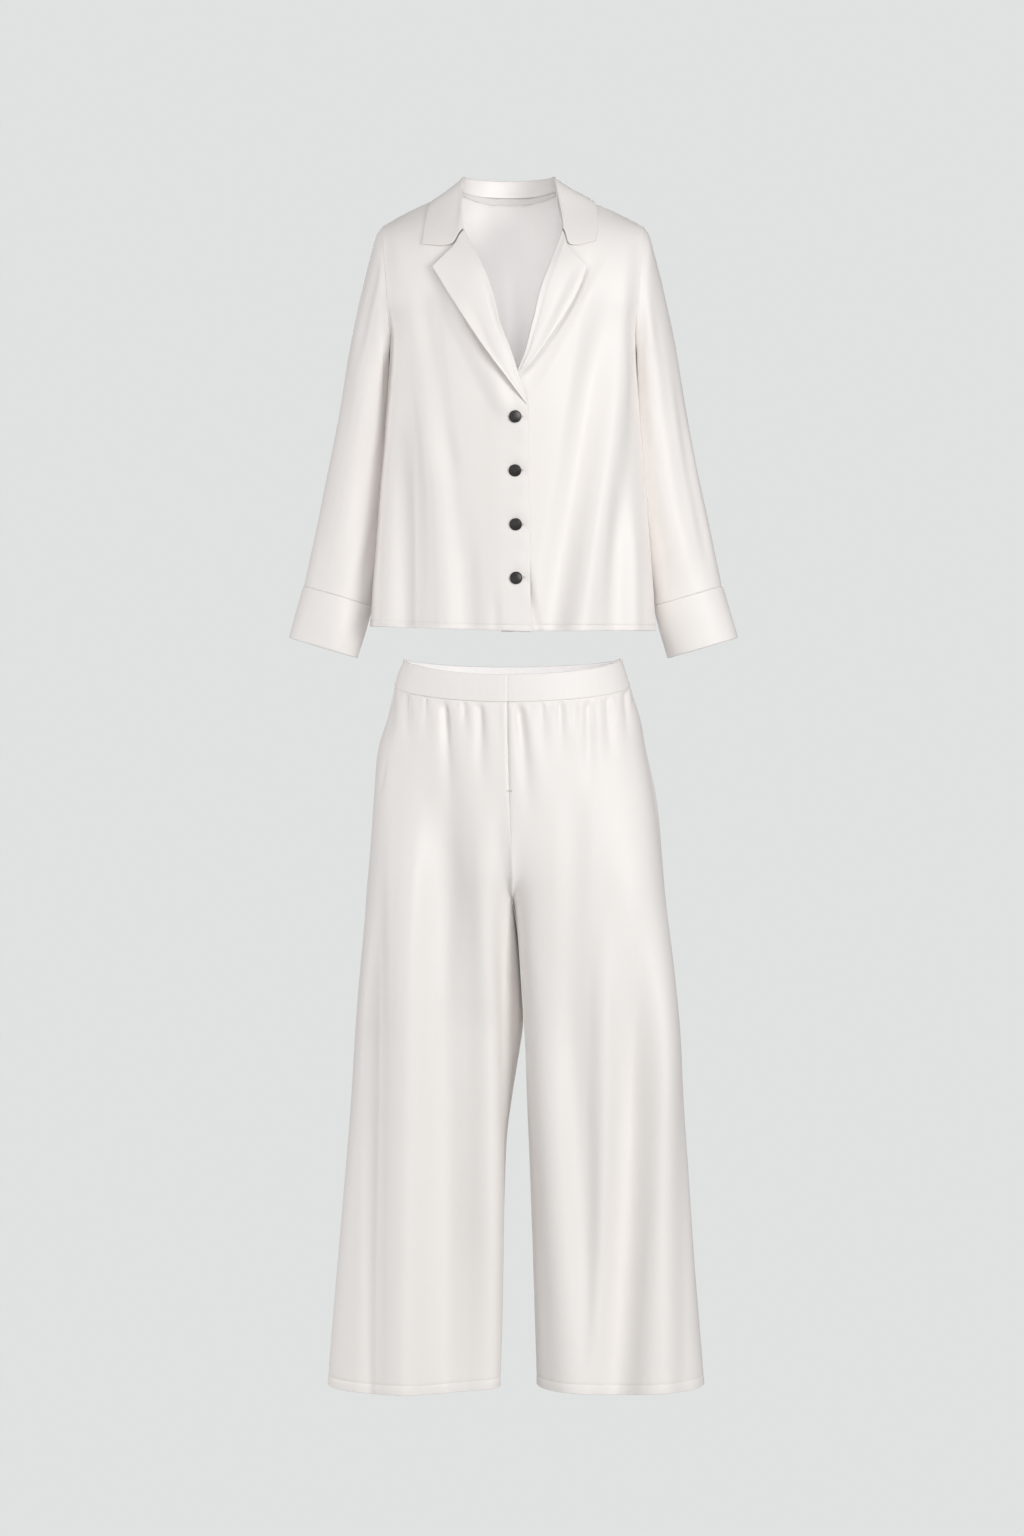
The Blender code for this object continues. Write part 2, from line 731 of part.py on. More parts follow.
def sleeve_piece(side):
    columns = 2 * ARM_ROWS
    rows = []
    for k in range(SLEEVE_ROWS + 1):
        t = k / SLEEVE_ROWS
        row = tube_row(side, spaced(SLEEVE, t), columns)
        middle = sum(row, Vector((0, 0, 0))) / columns
        fade = ease(t * 4) * ease((1 - t) * 8)
        for c, point in enumerate(row):
            height = fold_height(SLEEVE_FOLDS, c / columns, middle.z) * fade
            row[c] = point + (point - middle).normalized() * height
        rows.append(row)
    name = "sleeve_left" if side == LEFT else "sleeve_right"
    return facing(Piece(name, rows, closed=True), SLEEVE_ROWS // 2, 0, (side, 0, 0))


def cuff_piece(side):
    columns = 2 * ARM_ROWS
    rows = [tube_row(side, spaced(CUFF, k / 2), columns) for k in range(3)]
    name = "cuff_left" if side == LEFT else "cuff_right"
    return facing(Piece(name, rows, closed=True), 1, 0, (side, 0, 0))


# ================================================================ collar and lapels
def surface_of(pieces):
    points, faces = [], []
    for piece in pieces:
        first = len(points)
        across = len(piece.rows[0])
        points += [point for row in piece.rows for point in row]
        faces += [[first + r * across + c for r, c in corners] for corners in piece.triangles()]
    return BVHTree.FromPolygons(points, faces)


def seen_from_front(surface, x, z):
    """The point of the surface that lies behind a place on the front view, and its direction."""
    point, normal, _, _ = surface.ray_cast(Vector((x, -400, z)), Vector((0, 1, 0)))
    if point is None:
        point, normal, _, _ = surface.find_nearest(Vector((x, -105, z)))
    return point, normal


def laid_over(surface, point, lift):
    """Moves a point off the surface if it is nearer to it than the lift, or inside it."""
    near, normal, _, distance = surface.find_nearest(point)
    height = (point - near).dot(normal)
    inside = height < 0 and abs(abs(height) - distance) < 0.5
    if inside or distance < lift:
        return near + normal * lift
    return point


def lapel_piece(side, front, surface):
    rows = []
    free = free_edge(front)
    for r in range(LAPEL_ROWS + 1):
        t = r / LAPEL_ROWS
        place = spaced(LAPEL[side], t)
        roll = Vector((at_height(free, place.roll_z).x + side * 0.7, 0, place.roll_z))
        edge = Vector((place.edge_x, 0, place.edge_z))
        notch = Vector((NOTCH[side][0], 0, NOTCH[side][1]))
        bend = ease((t - 0.75) / 0.25)
        row = []
        for c in range(LAPEL_COLUMNS + 1):
            w = c / LAPEL_COLUMNS
            flat = roll.lerp(edge, w)
            knee = roll.lerp(notch, w / 0.42) if w < 0.42 else notch.lerp(edge, (w - 0.42) / 0.58)
            flat = flat.lerp(knee, bend)
            point, normal = seen_from_front(surface, flat.x, flat.z)
            lift = 2.4 + place.lift * max(0.0, math.sin(math.pi * min(1, w * 1.25))) ** 0.8
            row.append(point + normal * lift)
        rows.append(row)
    name = "lapel_left" if side == LEFT else "lapel_right"
    return facing(Piece(name, rows), LAPEL_ROWS // 2, LAPEL_COLUMNS // 2, (0, -1, 0))


def free_edge(front):
    """The front's closing edge, roll line and neck seam, from the hem up."""
    return [min(row[0], row[-1], key=lambda point: abs(point.x)) for row in front.rows]


def at_height(line, z):
    for a, b in zip(line, line[1:]):
        if a.z <= z <= b.z:
            return a.lerp(b, (z - a.z) / (b.z - a.z))
    return line[0] if z < line[0].z else line[-1]


def neck_line(side, front):
    """The neck seam in two stretches: nape to neck point, and neck point to gorge."""
    behind = [back_neck(side, c / NECK_COLUMNS) for c in range(NECK_COLUMNS + 1)]
    edge = free_edge(front)
    above = [point for point in reversed(edge) if point.z > GORGE_Z]
    return behind, above + [at_height(edge, GORGE_Z)]


def along_line(line, t):
    lengths = [0.0]
    for a, b in zip(line, line[1:]):
        lengths.append(lengths[-1] + (b - a).length)
    goal = t * lengths[-1]
    for a, b, start, end in zip(line, line[1:], lengths, lengths[1:]):
        if goal <= end:
            return a.lerp(b, (goal - start) / (end - start))
    return line[-1]


def collar_row(side, t, lines, surface):
    """One row across the collar: up the stand, over the fold and down the fall."""
    behind, before = lines
    base = along_line(behind, t * 2) if t < 0.5 else along_line(before, t * 2 - 1)
    place = spaced_at(COLLAR, t)
    around = Vector((base.x - middle_x(base.z), (base.y - NECK_Y) * 0.9, 0)).normalized()
    if t > 0.5:
        around = around.lerp(Vector((side * 0.25, -1, 0)).normalized(), ease((t - 0.5) * 2)).normalized()
    fold = base + around * place.lean + Vector((0, 0, place.stand))
    rise = (fold - base).normalized()
    edge = Vector((side * place.edge_out, place.edge_y, place.edge_z))
    if t > 0.6:
        corner = Vector((COLLAR_POINT[side][0], 0, COLLAR_POINT[side][1]))
        edge = edge.lerp(Vector((corner.x, edge.y, corner.z)), ease((t - 0.6) / 0.4))
    notch = Vector((NOTCH[side][0], 0, NOTCH[side][1]))
    row = [base + rise * 0.9, base.lerp(fold, 0.55)]
    over = fold + around * 2.2 + Vector((0, 0, 1.2))
    row += [fold, over]
    shoulder = over + around * 5 - Vector((0, 0, place.stand * 0.3))
    for w in (0.12, 0.3, 0.5, 0.75, 1.0):
        first, second = over.lerp(shoulder, w), shoulder.lerp(edge, w)
        point = first.lerp(second, w)
        if t > 0.7:
            knee = over.lerp(notch, w / 0.35) if w < 0.35 else notch.lerp(edge, (w - 0.35) / 0.65)
            bend = ease((t - 0.7) / 0.3)
            point.x, point.z = mix(point.x, knee.x, bend), mix(point.z, knee.z, bend)
        if t > 0.6:
            seen, normal = seen_from_front(surface, point.x, point.z)
            if seen:
                on_front = seen + normal * (COLLAR_LIFT + 2.5 * (1 - w))
                point = point.lerp(on_front, ease((t - 0.6) / 0.3))
        row.append(laid_over(surface, point, COLLAR_LIFT))
    return row


def spaced_at(table, at):
    kind = type(table[0])
    return kind(*(curve(table, at, name) for name in kind._fields))


def collar_piece(fronts, surface):
    rows = []
    for side in (LEFT, RIGHT):
        lines = neck_line(side, fronts[side])
        half = [collar_row(side, r / COLLAR_ROWS, lines, surface) for r in range(COLLAR_ROWS + 1)]
        rows = list(reversed(half)) if side == LEFT else rows + half[1:]
    return facing(Piece("collar", rows), COLLAR_ROWS, 7, (0, 1, 0))


def tape_piece(back):
    """The tape that covers the neck seam on the inside of the back."""
    top, under = back.rows[-1], back.rows[-2]
    normals = back.normals()[-1]
    middle = len(top) // 2
    rows = []
    for down in (1.0, 1.0 + TAPE_WIDTH / 2, 1.0 + TAPE_WIDTH):
        row = []
        for c in range(middle - NECK_COLUMNS, middle + NECK_COLUMNS + 1):
            step = under[c] - top[c]
            point = top[c] + step * (down / step.length)
            row.append(point - normals[c] * (CLOTH + 1.7))
        rows.append(row)
    return facing(Piece("neck_tape", rows), 1, NECK_COLUMNS, (0, -1, 0))


# ================================================================ buttons
def button(name, place, normal, collection, look):
    """A turned button: a flat back, a rounded rim and a gently domed face."""
    profile = ((0.0, 1.0), (0.45, 0.97), (0.8, 0.86), (0.95, 0.66), (1.0, 0.4), (0.93, 0.08), (0.86, 0.0), (0.0, 0.0))
    mesh = bmesh.new()
    points = [mesh.verts.new((r * BUTTON_RADIUS * MM, 0, h * BUTTON_HEIGHT * MM)) for r, h in profile]
    for a, b in zip(points, points[1:]):
        mesh.edges.new((a, b))
    data = bpy.data.meshes.new(name)
    mesh.to_mesh(data)
    mesh.free()
    obj = add(name, data, collection, look)
    turn = obj.modifiers.new("turn", "SCREW")
    turn.steps = turn.render_steps = 14
    turn.use_merge_vertices = True
    turn.merge_threshold = 0.00001
    turn.use_smooth_shade = True
    obj.rotation_euler = normal.to_track_quat("Z", "Y").to_euler()
    obj.location = (place + normal * 0.45) * MM
    return obj


# ================================================================ trousers
def hip_sizes(side, face, z):
    middle = curve(HIP, z, "middle_x")
    reach = curve(HIP, z, "left" if side == LEFT else "right") - side * middle
    depth = curve(HIP, z, "front" if face == FRONT else "back") - face * TROUSER_SIDE_Y
    return middle, reach, depth


def fullness(out, square):
    """The depth of a section's outer quarter at "out", from 0 at its middle to 1 at its side."""
    return max(0.0, 1 - min(1.0, max(0.0, out)) ** square) ** (1 / square)


def section_depth(turn, square, cleft):
    """The depth along half a leg: turn is 0 at the inseam and pi at the side seam."""
    across = math.cos(turn)
    return fullness(across, cleft) if across > 0 else fullness(-across, square)


def hip_point(side, face, turn, z):
    """A point on the hips: turn is 0 at the middle seam and pi/2 at the side seam."""
    middle, reach, depth = hip_sizes(side, face, z)
    out = math.sin(turn)
    y = TROUSER_SIDE_Y + face * depth * fullness(out, curve(HIP, z, "square"))
    return Vector((middle + side * reach * out, y, z))


def band_z(top_or_seam, face, turn):
    middle, side = (BAND[face][0], BAND[face][1]) if top_or_seam == "top" else (BAND[face][2], BAND[face][3])
    return mix(side, middle, math.cos(turn) ** 1.2 if math.cos(turn) > 0 else 0.0)


def trouser_piece(side, face):
    columns = LEG_COLUMNS
    rows = []
    levels = TROUSER_LEVELS[face]
    for level in levels:
        row = []
        for c in range(columns + 1):
            turn = c / columns * math.pi / 2
            blend = max(0.0, math.cos(turn)) ** 1.2
            row.append(hip_point(side, face, turn, mix(level.side, level.middle, blend)))
        rows.append(row)
    for k in range(1, CROTCH_ROWS + 1):
        start = math.pi / 2 * (1 - k / CROTCH_ROWS)
        z_in = CROTCH_Z + CROTCH_RISE * (1 - math.cos(start))
        z_out = mix(levels[-1].side, CROTCH_Z - 20, k / CROTCH_ROWS)
        rows.append(crotch_row(side, face, start, z_in, z_out, columns))
    for z in LEG_LEVELS:
        rows.append(leg_row(side, face, z, columns))
    pushed = []
    seam_z = levels[0].side
    for r, row in enumerate(rows):
        heights = []
        for c, point in enumerate(row):
            across = (point.x - row[0].x) / (row[-1].x - row[0].x)
            fade = ease(12 * across) * ease(8 * (1 - across))
            height = fold_height(LEG_FOLDS[face, side], across, point.z) * fade
            gathered = gather_height(GATHERS[face, side], c / columns, point.z, row_seam(face, c / columns))
            heights.append(height * ease((seam_z - 60 - point.z) / 120) + (gathered if r else 0))
        pushed.append(push_leg_folds(row, heights, face))
    names = {(FRONT, LEFT): "front_left", (FRONT, RIGHT): "front_right"}
    names |= {(BACK, LEFT): "back_left", (BACK, RIGHT): "back_right"}
    piece = Piece("trouser_" + names[face, side], pushed)
    return facing(piece, 3, columns // 2, (0, face, 0))


def row_seam(face, u):
    return band_z("seam", face, u * math.pi / 2)


def crotch_row(side, face, start, z_in, z_out, columns):
    """Over the crotch a row grows from a quarter of the hips into half of a leg."""
    row = []
    for c in range(columns + 1):
        across = c / columns
        turn = mix(start, math.pi, across)
        z = mix(z_in, z_out, ease(3 * across))
        middle, reach, depth = hip_sizes(side, face, z)
        radius = reach / (1 + math.cos(start))
        out = radius * (math.cos(start) - math.cos(turn))
        deep = section_depth(turn, curve(HIP, z, "square"), 3.4 + 0.6 * math.cos(start))
        out += 0.3 * math.cos(start)
        row.append(Vector((middle + side * out, TROUSER_SIDE_Y + face * depth * deep, z)))
    return row


def leg_row(side, face, z, columns):
    table = LEG[side]
    inner, outer = curve(table, z, "inner"), curve(table, z, "outer")
    depth = curve(table, z, "front" if face == FRONT else "back") - face * TROUSER_SIDE_Y
    near_hem = ease((-1500 - z) / 146)
    square, cleft = curve(table, z, "square"), curve(table, z, "cleft")
    row = []
    for c in range(columns + 1):
        turn = math.pi * c / columns
        out = (inner + outer) / 2 - (outer - inner) / 2 * math.cos(turn)
        deep = section_depth(turn, square, cleft)
        drop = HEM_DROP * (1.0 if face == FRONT else 0.3) * math.sin(turn) * near_hem
        row.append(Vector((side * out, TROUSER_SIDE_Y + face * depth * deep, z - drop)))
    return row


def push_leg_folds(row, heights, face):
    moved = []
    middle = Vector(((row[0].x + row[-1].x) / 2, TROUSER_SIDE_Y, 0))
    for c, (point, height) in enumerate(zip(row, heights)):
        along = row[min(c + 1, len(row) - 1)] - row[max(c - 1, 0)]
        way = Vector((along.y, -along.x, 0)).normalized()
        if way.dot(Vector((point.x - middle.x, point.y - middle.y, 0))) < 0:
            way = -way
        moved.append(point + way * height)
    return moved


def waistband_piece(face):
    rows = []
    for t in (0.0, 0.5, 1.0):
        row = []
        for side in (LEFT, RIGHT):
            half = []
            for c in range(BAND_COLUMNS + 1):
                turn = c / BAND_COLUMNS * math.pi / 2
                z = mix(band_z("seam", face, turn), band_z("top", face, turn), t)
                half.append(hip_point(side, face, turn, z))
            row = list(reversed(half)) if side == LEFT else row + half[1:]
        rows.append(row)
    name = "waistband_front" if face == FRONT else "waistband_back"
    return facing(Piece(name, rows), 1, BAND_COLUMNS, (0, face, 0))


# ================================================================ the set
def main():
    for obj in list(bpy.data.objects):
        bpy.data.objects.remove(obj, do_unlink=True)
    collection = bpy.data.collections.new("pyjama_set")
    bpy.context.scene.collection.children.link(collection)
    ivory = (0.84, 0.80, 0.77)

    def satin(name, shade=1.0):
        return material(name + "_satin", [value * shade for value in ivory], 0.38)

    fronts = {side: front_piece(side) for side in (LEFT, RIGHT)}
    back = back_piece()
    sleeves = {side: sleeve_piece(side) for side in (LEFT, RIGHT)}
    body = [fronts[LEFT], fronts[RIGHT], back]
    match_seams(body + list(sleeves.values()))
    for piece in body:
        lean_shoulders(piece)
    for piece in body + list(sleeves.values()):
        seamed_wall(piece, collection, satin(piece.name))

    over_all = surface_of(body)
    for side in (LEFT, RIGHT):
        lapel = lapel_piece(side, fronts[side], surface_of([fronts[side]]))
        even_wall(lapel, collection, satin(lapel.name, 1.03))
        cuff = cuff_piece(side)
        even_wall(cuff, collection, satin(cuff.name, 1.03), CUFF_WALL)
    collar = collar_piece(fronts, over_all)
    even_wall(collar, collection, satin("collar", 1.03))
    tape = tape_piece(back)
    even_wall(tape, collection, material("tape_cotton", (0.62, 0.60, 0.60), 0.8), 1.0)

    closing = surface_of([fronts[LEFT]])
    horn = material("button_polyester", (0.016, 0.014, 0.013), 0.32, 0.3)
    for number, z in enumerate(BUTTON_Z, start=1):
        place, normal = seen_from_front(closing, middle_x(z), z)
        button(f"button_{number}", place, normal, collection, horn)

    legs = [trouser_piece(side, face) for side in (LEFT, RIGHT) for face in (FRONT, BACK)]
    match_seams(legs)
    for piece in legs:
        level_edge(piece, 0)
        seamed_wall(piece, collection, satin(piece.name))
    bands = [waistband_piece(FRONT), waistband_piece(BACK)]
    match_seams(bands)
    for piece in bands:
        level_edge(piece, 0)
        level_edge(piece, 2)
        seamed_wall(piece, collection, satin(piece.name, 1.03), WAISTBAND_WALL)


main()
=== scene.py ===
# %% [markdown]
# # A satin pyjama set
#
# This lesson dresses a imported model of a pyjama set: a jacket with a notched collar, and wide
# trousers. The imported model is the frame. It is never moved; each of its plain walls of cloth is
# replaced by a finer piece that lies on the same form.
#
# Cloth is what the whole object is made of, so most cells shape cloth. Every panel is a grid of
# points worked out from named sizes in millimetres, then pushed in and out by folds, and last
# given the thickness of real satin.

# %% The frame
import math
from collections import namedtuple

import bmesh
import bpy
import numpy as np
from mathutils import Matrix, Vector
from mathutils.bvhtree import BVHTree


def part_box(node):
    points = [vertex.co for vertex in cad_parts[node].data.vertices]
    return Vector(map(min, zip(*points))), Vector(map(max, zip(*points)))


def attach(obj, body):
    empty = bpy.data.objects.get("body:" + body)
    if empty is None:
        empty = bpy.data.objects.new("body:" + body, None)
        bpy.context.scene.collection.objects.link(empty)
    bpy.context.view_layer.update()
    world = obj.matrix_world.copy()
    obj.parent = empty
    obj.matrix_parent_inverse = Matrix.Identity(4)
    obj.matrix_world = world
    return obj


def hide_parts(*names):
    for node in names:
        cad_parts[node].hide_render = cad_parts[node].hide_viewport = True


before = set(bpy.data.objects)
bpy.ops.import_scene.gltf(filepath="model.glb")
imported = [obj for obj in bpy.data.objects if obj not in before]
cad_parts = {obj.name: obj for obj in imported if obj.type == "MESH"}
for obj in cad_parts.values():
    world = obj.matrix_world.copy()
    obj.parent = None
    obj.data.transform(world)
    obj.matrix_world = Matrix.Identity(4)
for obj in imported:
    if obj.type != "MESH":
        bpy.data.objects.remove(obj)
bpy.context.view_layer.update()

MM = 0.001
LEFT, RIGHT = -1, 1  # the viewer's left and right
FRONT, BACK = -1, 1
SIDES = {LEFT: "left", RIGHT: "right"}
FACES = {FRONT: "front", BACK: "back"}


# %% [markdown]
# ## Camera and light
#
# Clothes for a catalogue are shot from far away with a long lens, which keeps their proportions
# true: a near camera would swell the chest. The camera stands 23.9 m in front, level with the
# middle of the set. The backdrop is an even pale grey with no horizon, so it is the world's own
# colour; the floor lies below the picture and shows only from other angles.
#
# White cloth on a pale ground needs light from one side, or its folds vanish. So the key stands at
# the right, with three weaker lamps in front. A fill at each side lifts the flanks; the left one is
# strong, because the key does not reach that side. Two small lamps hang inside the jacket and the
# waistband and stand for the light that thin white cloth lets through to its inner face. One more
# lights the backs for other views. All the lamps are hidden from the camera.

# %% The camera
def added(name, data):
    """A new object in the scene."""
    made = bpy.data.objects.new(name, data)
    bpy.context.collection.objects.link(made)
    return made


VIEW_HEIGHT = 2.150  # metres that the picture takes in from top to bottom
CAMERA_AWAY = 23.9
SENSOR = 36.0
CAMERA_X = -0.0014
CAMERA_Z = -0.788
camera = added("camera", bpy.data.cameras.new("camera"))
camera.data.sensor_fit = "VERTICAL"
camera.data.sensor_height = SENSOR
camera.data.lens = SENSOR * CAMERA_AWAY / VIEW_HEIGHT
camera.location = (CAMERA_X, -CAMERA_AWAY, CAMERA_Z)
camera.rotation_euler = (math.radians(90), 0, 0)
bpy.context.scene.camera = camera
print("the lens is", round(camera.data.lens), "mm long")


# %% [markdown]
# Colours are written as the hex values that a screen shows. Blender calculates with linear
# light, so one function turns a hex value into linear numbers. Another adds a shader node with its
# settings and links. `new_look` and `tint` are the start of every material of the set: its shader,
# and a colour that wanders between a darker and a lighter shade.

# %% Colours and nodes
def linear(hex_colour):
    """A screen colour such as #e0e2e1 as linear light, with an alpha of 1."""
    values = [int(hex_colour[i:i + 2], 16) / 255 for i in (1, 3, 5)]
    return [v / 12.92 if v <= 0.04045 else ((v + 0.055) / 1.055) ** 2.4 for v in values] + [1.0]


def set_sockets(made, **values):
    for name, value in values.items():
        made.inputs[name.replace("_", " ")].default_value = value


def node(tree, kind, links=None, **settings):
    """Adds one node; a setting is a property of the node, or the value of a named socket."""
    made = tree.nodes.new(kind)
    for name, value in settings.items():
        if hasattr(made, name):
            setattr(made, name, value)
    set_sockets(made, **{name: value for name, value in settings.items() if not hasattr(made, name)})
    for socket, source in (links or {}).items():
        tree.links.new(source, made.inputs[socket])
    return made


def new_look(name):
    """A material with its node tree, its shader and its texture coordinates."""
    look = bpy.data.materials.new(name)
    look.use_nodes = True
    tree = look.node_tree
    return look, tree, tree.nodes["Principled BSDF"], node(tree, "ShaderNodeTexCoord").outputs


def tint(tree, shader, factor, hex_colour, dark, light=1.0):
    """Colours the shader from dark to light times the given colour, as the factor goes up."""
    base = np.array(linear(hex_colour)[:3])
    shade = node(tree, "ShaderNodeMix", {"Factor": factor}, data_type="RGBA")
    shade.inputs[6].default_value = [*(base * dark), 1]
    shade.inputs[7].default_value = [*(base * light), 1]
    tree.links.new(shade.outputs[2], shader.inputs["Base Color"])


# %% The backdrop and the lights
BACKDROP = "#e0e2e1"
world = bpy.data.worlds.new("studio")
bpy.context.scene.world = world
world.use_nodes = True
tree = world.node_tree
tree.nodes.clear()
seen = node(tree, "ShaderNodeBackground", Color=linear(BACKDROP), Strength=1.0)
lit = node(tree, "ShaderNodeBackground", Color=linear("#f6f5f5"), Strength=0.28)
ray = node(tree, "ShaderNodeLightPath")
mixed = node(tree, "ShaderNodeMixShader", {
    0: ray.outputs["Is Camera Ray"], 1: lit.outputs[0], 2: seen.outputs[0]})
node(tree, "ShaderNodeOutputWorld", {"Surface": mixed.outputs[0]})
bpy.context.scene.view_settings.view_transform = "Standard"


def softbox(name, place, aim, size, watts, colour="#fffdfb"):
    """A soft rectangular light of the given width and height, turned towards a point."""
    light = bpy.data.lights.new(name, "AREA")
    light.shape = "RECTANGLE"
    light.size, light.size_y = size
    light.energy = watts
    light.color = linear(colour)[:3]
    lamp = added(name, light)
    lamp.visible_camera = False
    lamp.location = place
    lamp.rotation_euler = (Vector(aim) - Vector(place)).to_track_quat("-Z", "Y").to_euler()


softbox("key", (2.3, -3.0, 0.0), (0.0, 0.0, -0.7), (1.4, 1.4), 67, "#fffefc")
softbox("left_front", (-1.9, -3.7, 0.1), (0.0, 0.0, -0.6), (1.2, 1.2), 15)
softbox("high_front", (-0.4, -3.3, 1.9), (0.0, 0.0, -0.4), (1.2, 1.2), 30)
softbox("low_front", (-0.2, -4.3, -1.5), (0.0, 0.0, -1.1), (1.5, 1.5), 12)
softbox("left_fill", (-4.1, 0.2, -0.4), (0.0, 0.0, -0.8), (1.5, 1.5), 54)
softbox("right_fill", (4.1, 0.0, -0.2), (0.0, 0.0, -0.8), (1.5, 1.5), 6)
softbox("back", (0.0, 4.3, 0.6), (0.0, 0.0, -0.8), (1.5, 1.5), 50)
softbox("inside_neck", (-0.003, -0.02, -0.12), (-0.003, 0.09, -0.10), (0.10, 0.17), 0.072, "#f1f5fa")
softbox("inside_waist", (-0.005, -0.03, -0.70), (-0.005, 0.09, -0.665), (0.26, 0.05), 0.12, "#f1f5fa")

FLOOR_Z = -1.95
FLOOR_RADIUS = 1.15
bpy.ops.mesh.primitive_circle_add(
    vertices=96, radius=FLOOR_RADIUS, fill_type="NGON", location=(0, 0, FLOOR_Z))
floor = bpy.context.object
floor.name = "floor"
paint = bpy.data.materials.new("matt_floor_paint")
paint.use_nodes = True
set_sockets(paint.node_tree.nodes["Principled BSDF"], Base_Color=linear("#d5d7d6"), Roughness=0.9)
floor.data.materials.append(paint)


# %% [markdown]
# ## Satin
#
# Satin is woven so that its threads float on its face over four or more others before they dive
# under one. That gives the eye a soft, wide gleam rather than a sparkle, stretched across the
# floating threads, and no visible grid. The dye is a warm ivory. A faint unevenness of the threads
# and shallow crumples, some 26 mm wide, keep the gleam alive. Real threads lie 0.1 mm apart, far
# finer than the picture shows, so the thread lines here are drawn 1.2 mm apart.

# %% The satin
THREAD_MM = 1.2
CRUMPLE_MM = 26.0


def satin(name, hex_colour="#f9f6f4"):
    look, tree, shader, place = new_look(name)
    warp = node(tree, "ShaderNodeMapping", {"Vector": place["UV"]}, Scale=(1 / (THREAD_MM * MM), 12.0, 1.0))
    threads = node(tree, "ShaderNodeTexNoise", {"Vector": warp.outputs[0]}, Scale=1.0, Detail=2.0)
    body = node(tree, "ShaderNodeMapping", {"Vector": place["Object"]}, Scale=(1.0, 1.0, 0.45))
    size = 1 / (CRUMPLE_MM * MM)
    crumple = node(tree, "ShaderNodeTexNoise", {"Vector": body.outputs[0]}, Scale=size, Detail=3.0)
    cloud = node(tree, "ShaderNodeTexNoise", {"Vector": body.outputs[0]}, Scale=6.0, Detail=2.0)
    tint(tree, shader, cloud.outputs["Fac"], hex_colour, dark=(0.985, 0.975, 0.97))
    gleam = node(tree, "ShaderNodeMapRange", {"Value": threads.outputs["Fac"]}, To_Min=0.44, To_Max=0.56)
    tree.links.new(gleam.outputs[0], shader.inputs["Roughness"])
    soft = node(tree, "ShaderNodeBump", {"Height": crumple.outputs["Fac"]}, Strength=0.35, Distance=0.9 * MM)
    fine = node(tree, "ShaderNodeBump", {"Height": threads.outputs["Fac"], "Normal": soft.outputs[0]},
                Strength=0.15, Distance=0.06 * MM)
    tree.links.new(fine.outputs[0], shader.inputs["Normal"])
    set_sockets(shader, Sheen_Weight=0.10, Sheen_Roughness=0.4, Specular_IOR_Level=0.42)
    return look


ivory_satin = satin("ivory_polyester_satin")
print("satin threads drawn every", THREAD_MM, "mm")


# %% [markdown]
# ## From a table to a smooth line
#
# A garment is cut from a few measured sections. Each table below holds one row for each section,
# and `curve` runs a smooth line through one of its columns. Working on whole arrays at once keeps
# the script quick, although the grids have tens of thousands of points.

# %% Lines through tables
def mix(a, b, t):
    return a + (b - a) * t


def ease(t):
    t = np.clip(t, 0.0, 1.0)
    return t * t * (3 - 2 * t)


def below(z, height, fade):
    """0 above a height, and 1 from `fade` mm under it."""
    return ease((height - z) / fade)


def above(z, height, fade):
    """0 below a height, and 1 from `fade` mm over it."""
    return ease((z - height) / fade)


def bell(distance, reach):
    """1 at a distance of 0, and dying away over the reach."""
    return np.exp(-(distance / reach) ** 2)


def curve(table, at, column):
    """A smooth line through one column, read at places along the table's first column."""
    rows = sorted(table)
    x = np.array([row[0] for row in rows], float)
    y = np.array([getattr(row, column) for row in rows], float)
    slope = np.gradient(y) / np.gradient(x)
    at = np.clip(at, x[0], x[-1])
    k = np.clip(np.searchsorted(x, at) - 1, 0, len(x) - 2)
    step, rise = x[k + 1] - x[k], y[k + 1] - y[k]
    t = (at - x[k]) / step
    start, end = slope[k] * step, slope[k + 1] * step
    bend = 3 * rise - 2 * start - end
    return y[k] + t * (start + t * (bend + t * (start + end - 2 * rise)))


def spaced(table, t):
    """All the columns of a table, t of the way from its first row to its last."""
    kind = type(table[0])
    numbered = namedtuple("Numbered", ("place", *kind._fields))
    rows = [numbered(i, *row) for i, row in enumerate(table)]
    return kind(*(curve(rows, np.asarray(t) * (len(table) - 1), name) for name in kind._fields))


def steps(count, tight=(0.004, 0.012), start=True, end=True):
    """Places from 0 to 1, with a few close together near the ends, where cloth turns sharply."""
    places = list(np.linspace(0, 1, count + 1))
    places += list(tight) if start else []
    places += [1 - t for t in tight] if end else []
    return np.array(sorted(set(places)))


def point(x, y, z):
    return np.stack(np.broadcast_arrays(x, y, z), axis=-1).astype(float)


# %% [markdown]
# ## Cloth
#
# A panel is an array of points, row by row. `directions` finds which way the cloth faces at each
# point, and `pushed` moves the points along that direction, which is how every fold is made.
# `cloth` turns the array into a mesh. It writes a UV map in metres of real cloth, so that the
# threads of the satin follow the panel however it hangs, and a Solidify modifier gives the
# thickness. The points are the cloth's outer face.

# %% Panels
CLOTH_MM = 0.8
pieces = {}  # by the node of the frame that each one stands for


def directions(grid, closed=False):
    """The way that the cloth faces at each point of the grid."""
    if closed:
        across = np.roll(grid, -1, axis=1) - np.roll(grid, 1, axis=1)
    else:
        across = np.gradient(grid, axis=1)
    facing_way = np.cross(across, np.gradient(grid, axis=0))
    length = np.linalg.norm(facing_way, axis=2, keepdims=True)
    return facing_way / np.maximum(length, 1e-9)


def facing(grid, way):
    """Turns the rows round, if need be, so that the panel's middle faces the given way."""
    r, c = grid.shape[0] // 2, grid.shape[1] // 2
    turned = directions(grid)[r, c] @ np.array(way, float) < 0
    return grid[:, ::-1].copy() if turned else grid


def pushed(grid, height, closed=False):
    return grid + directions(grid, closed) * height[..., None]


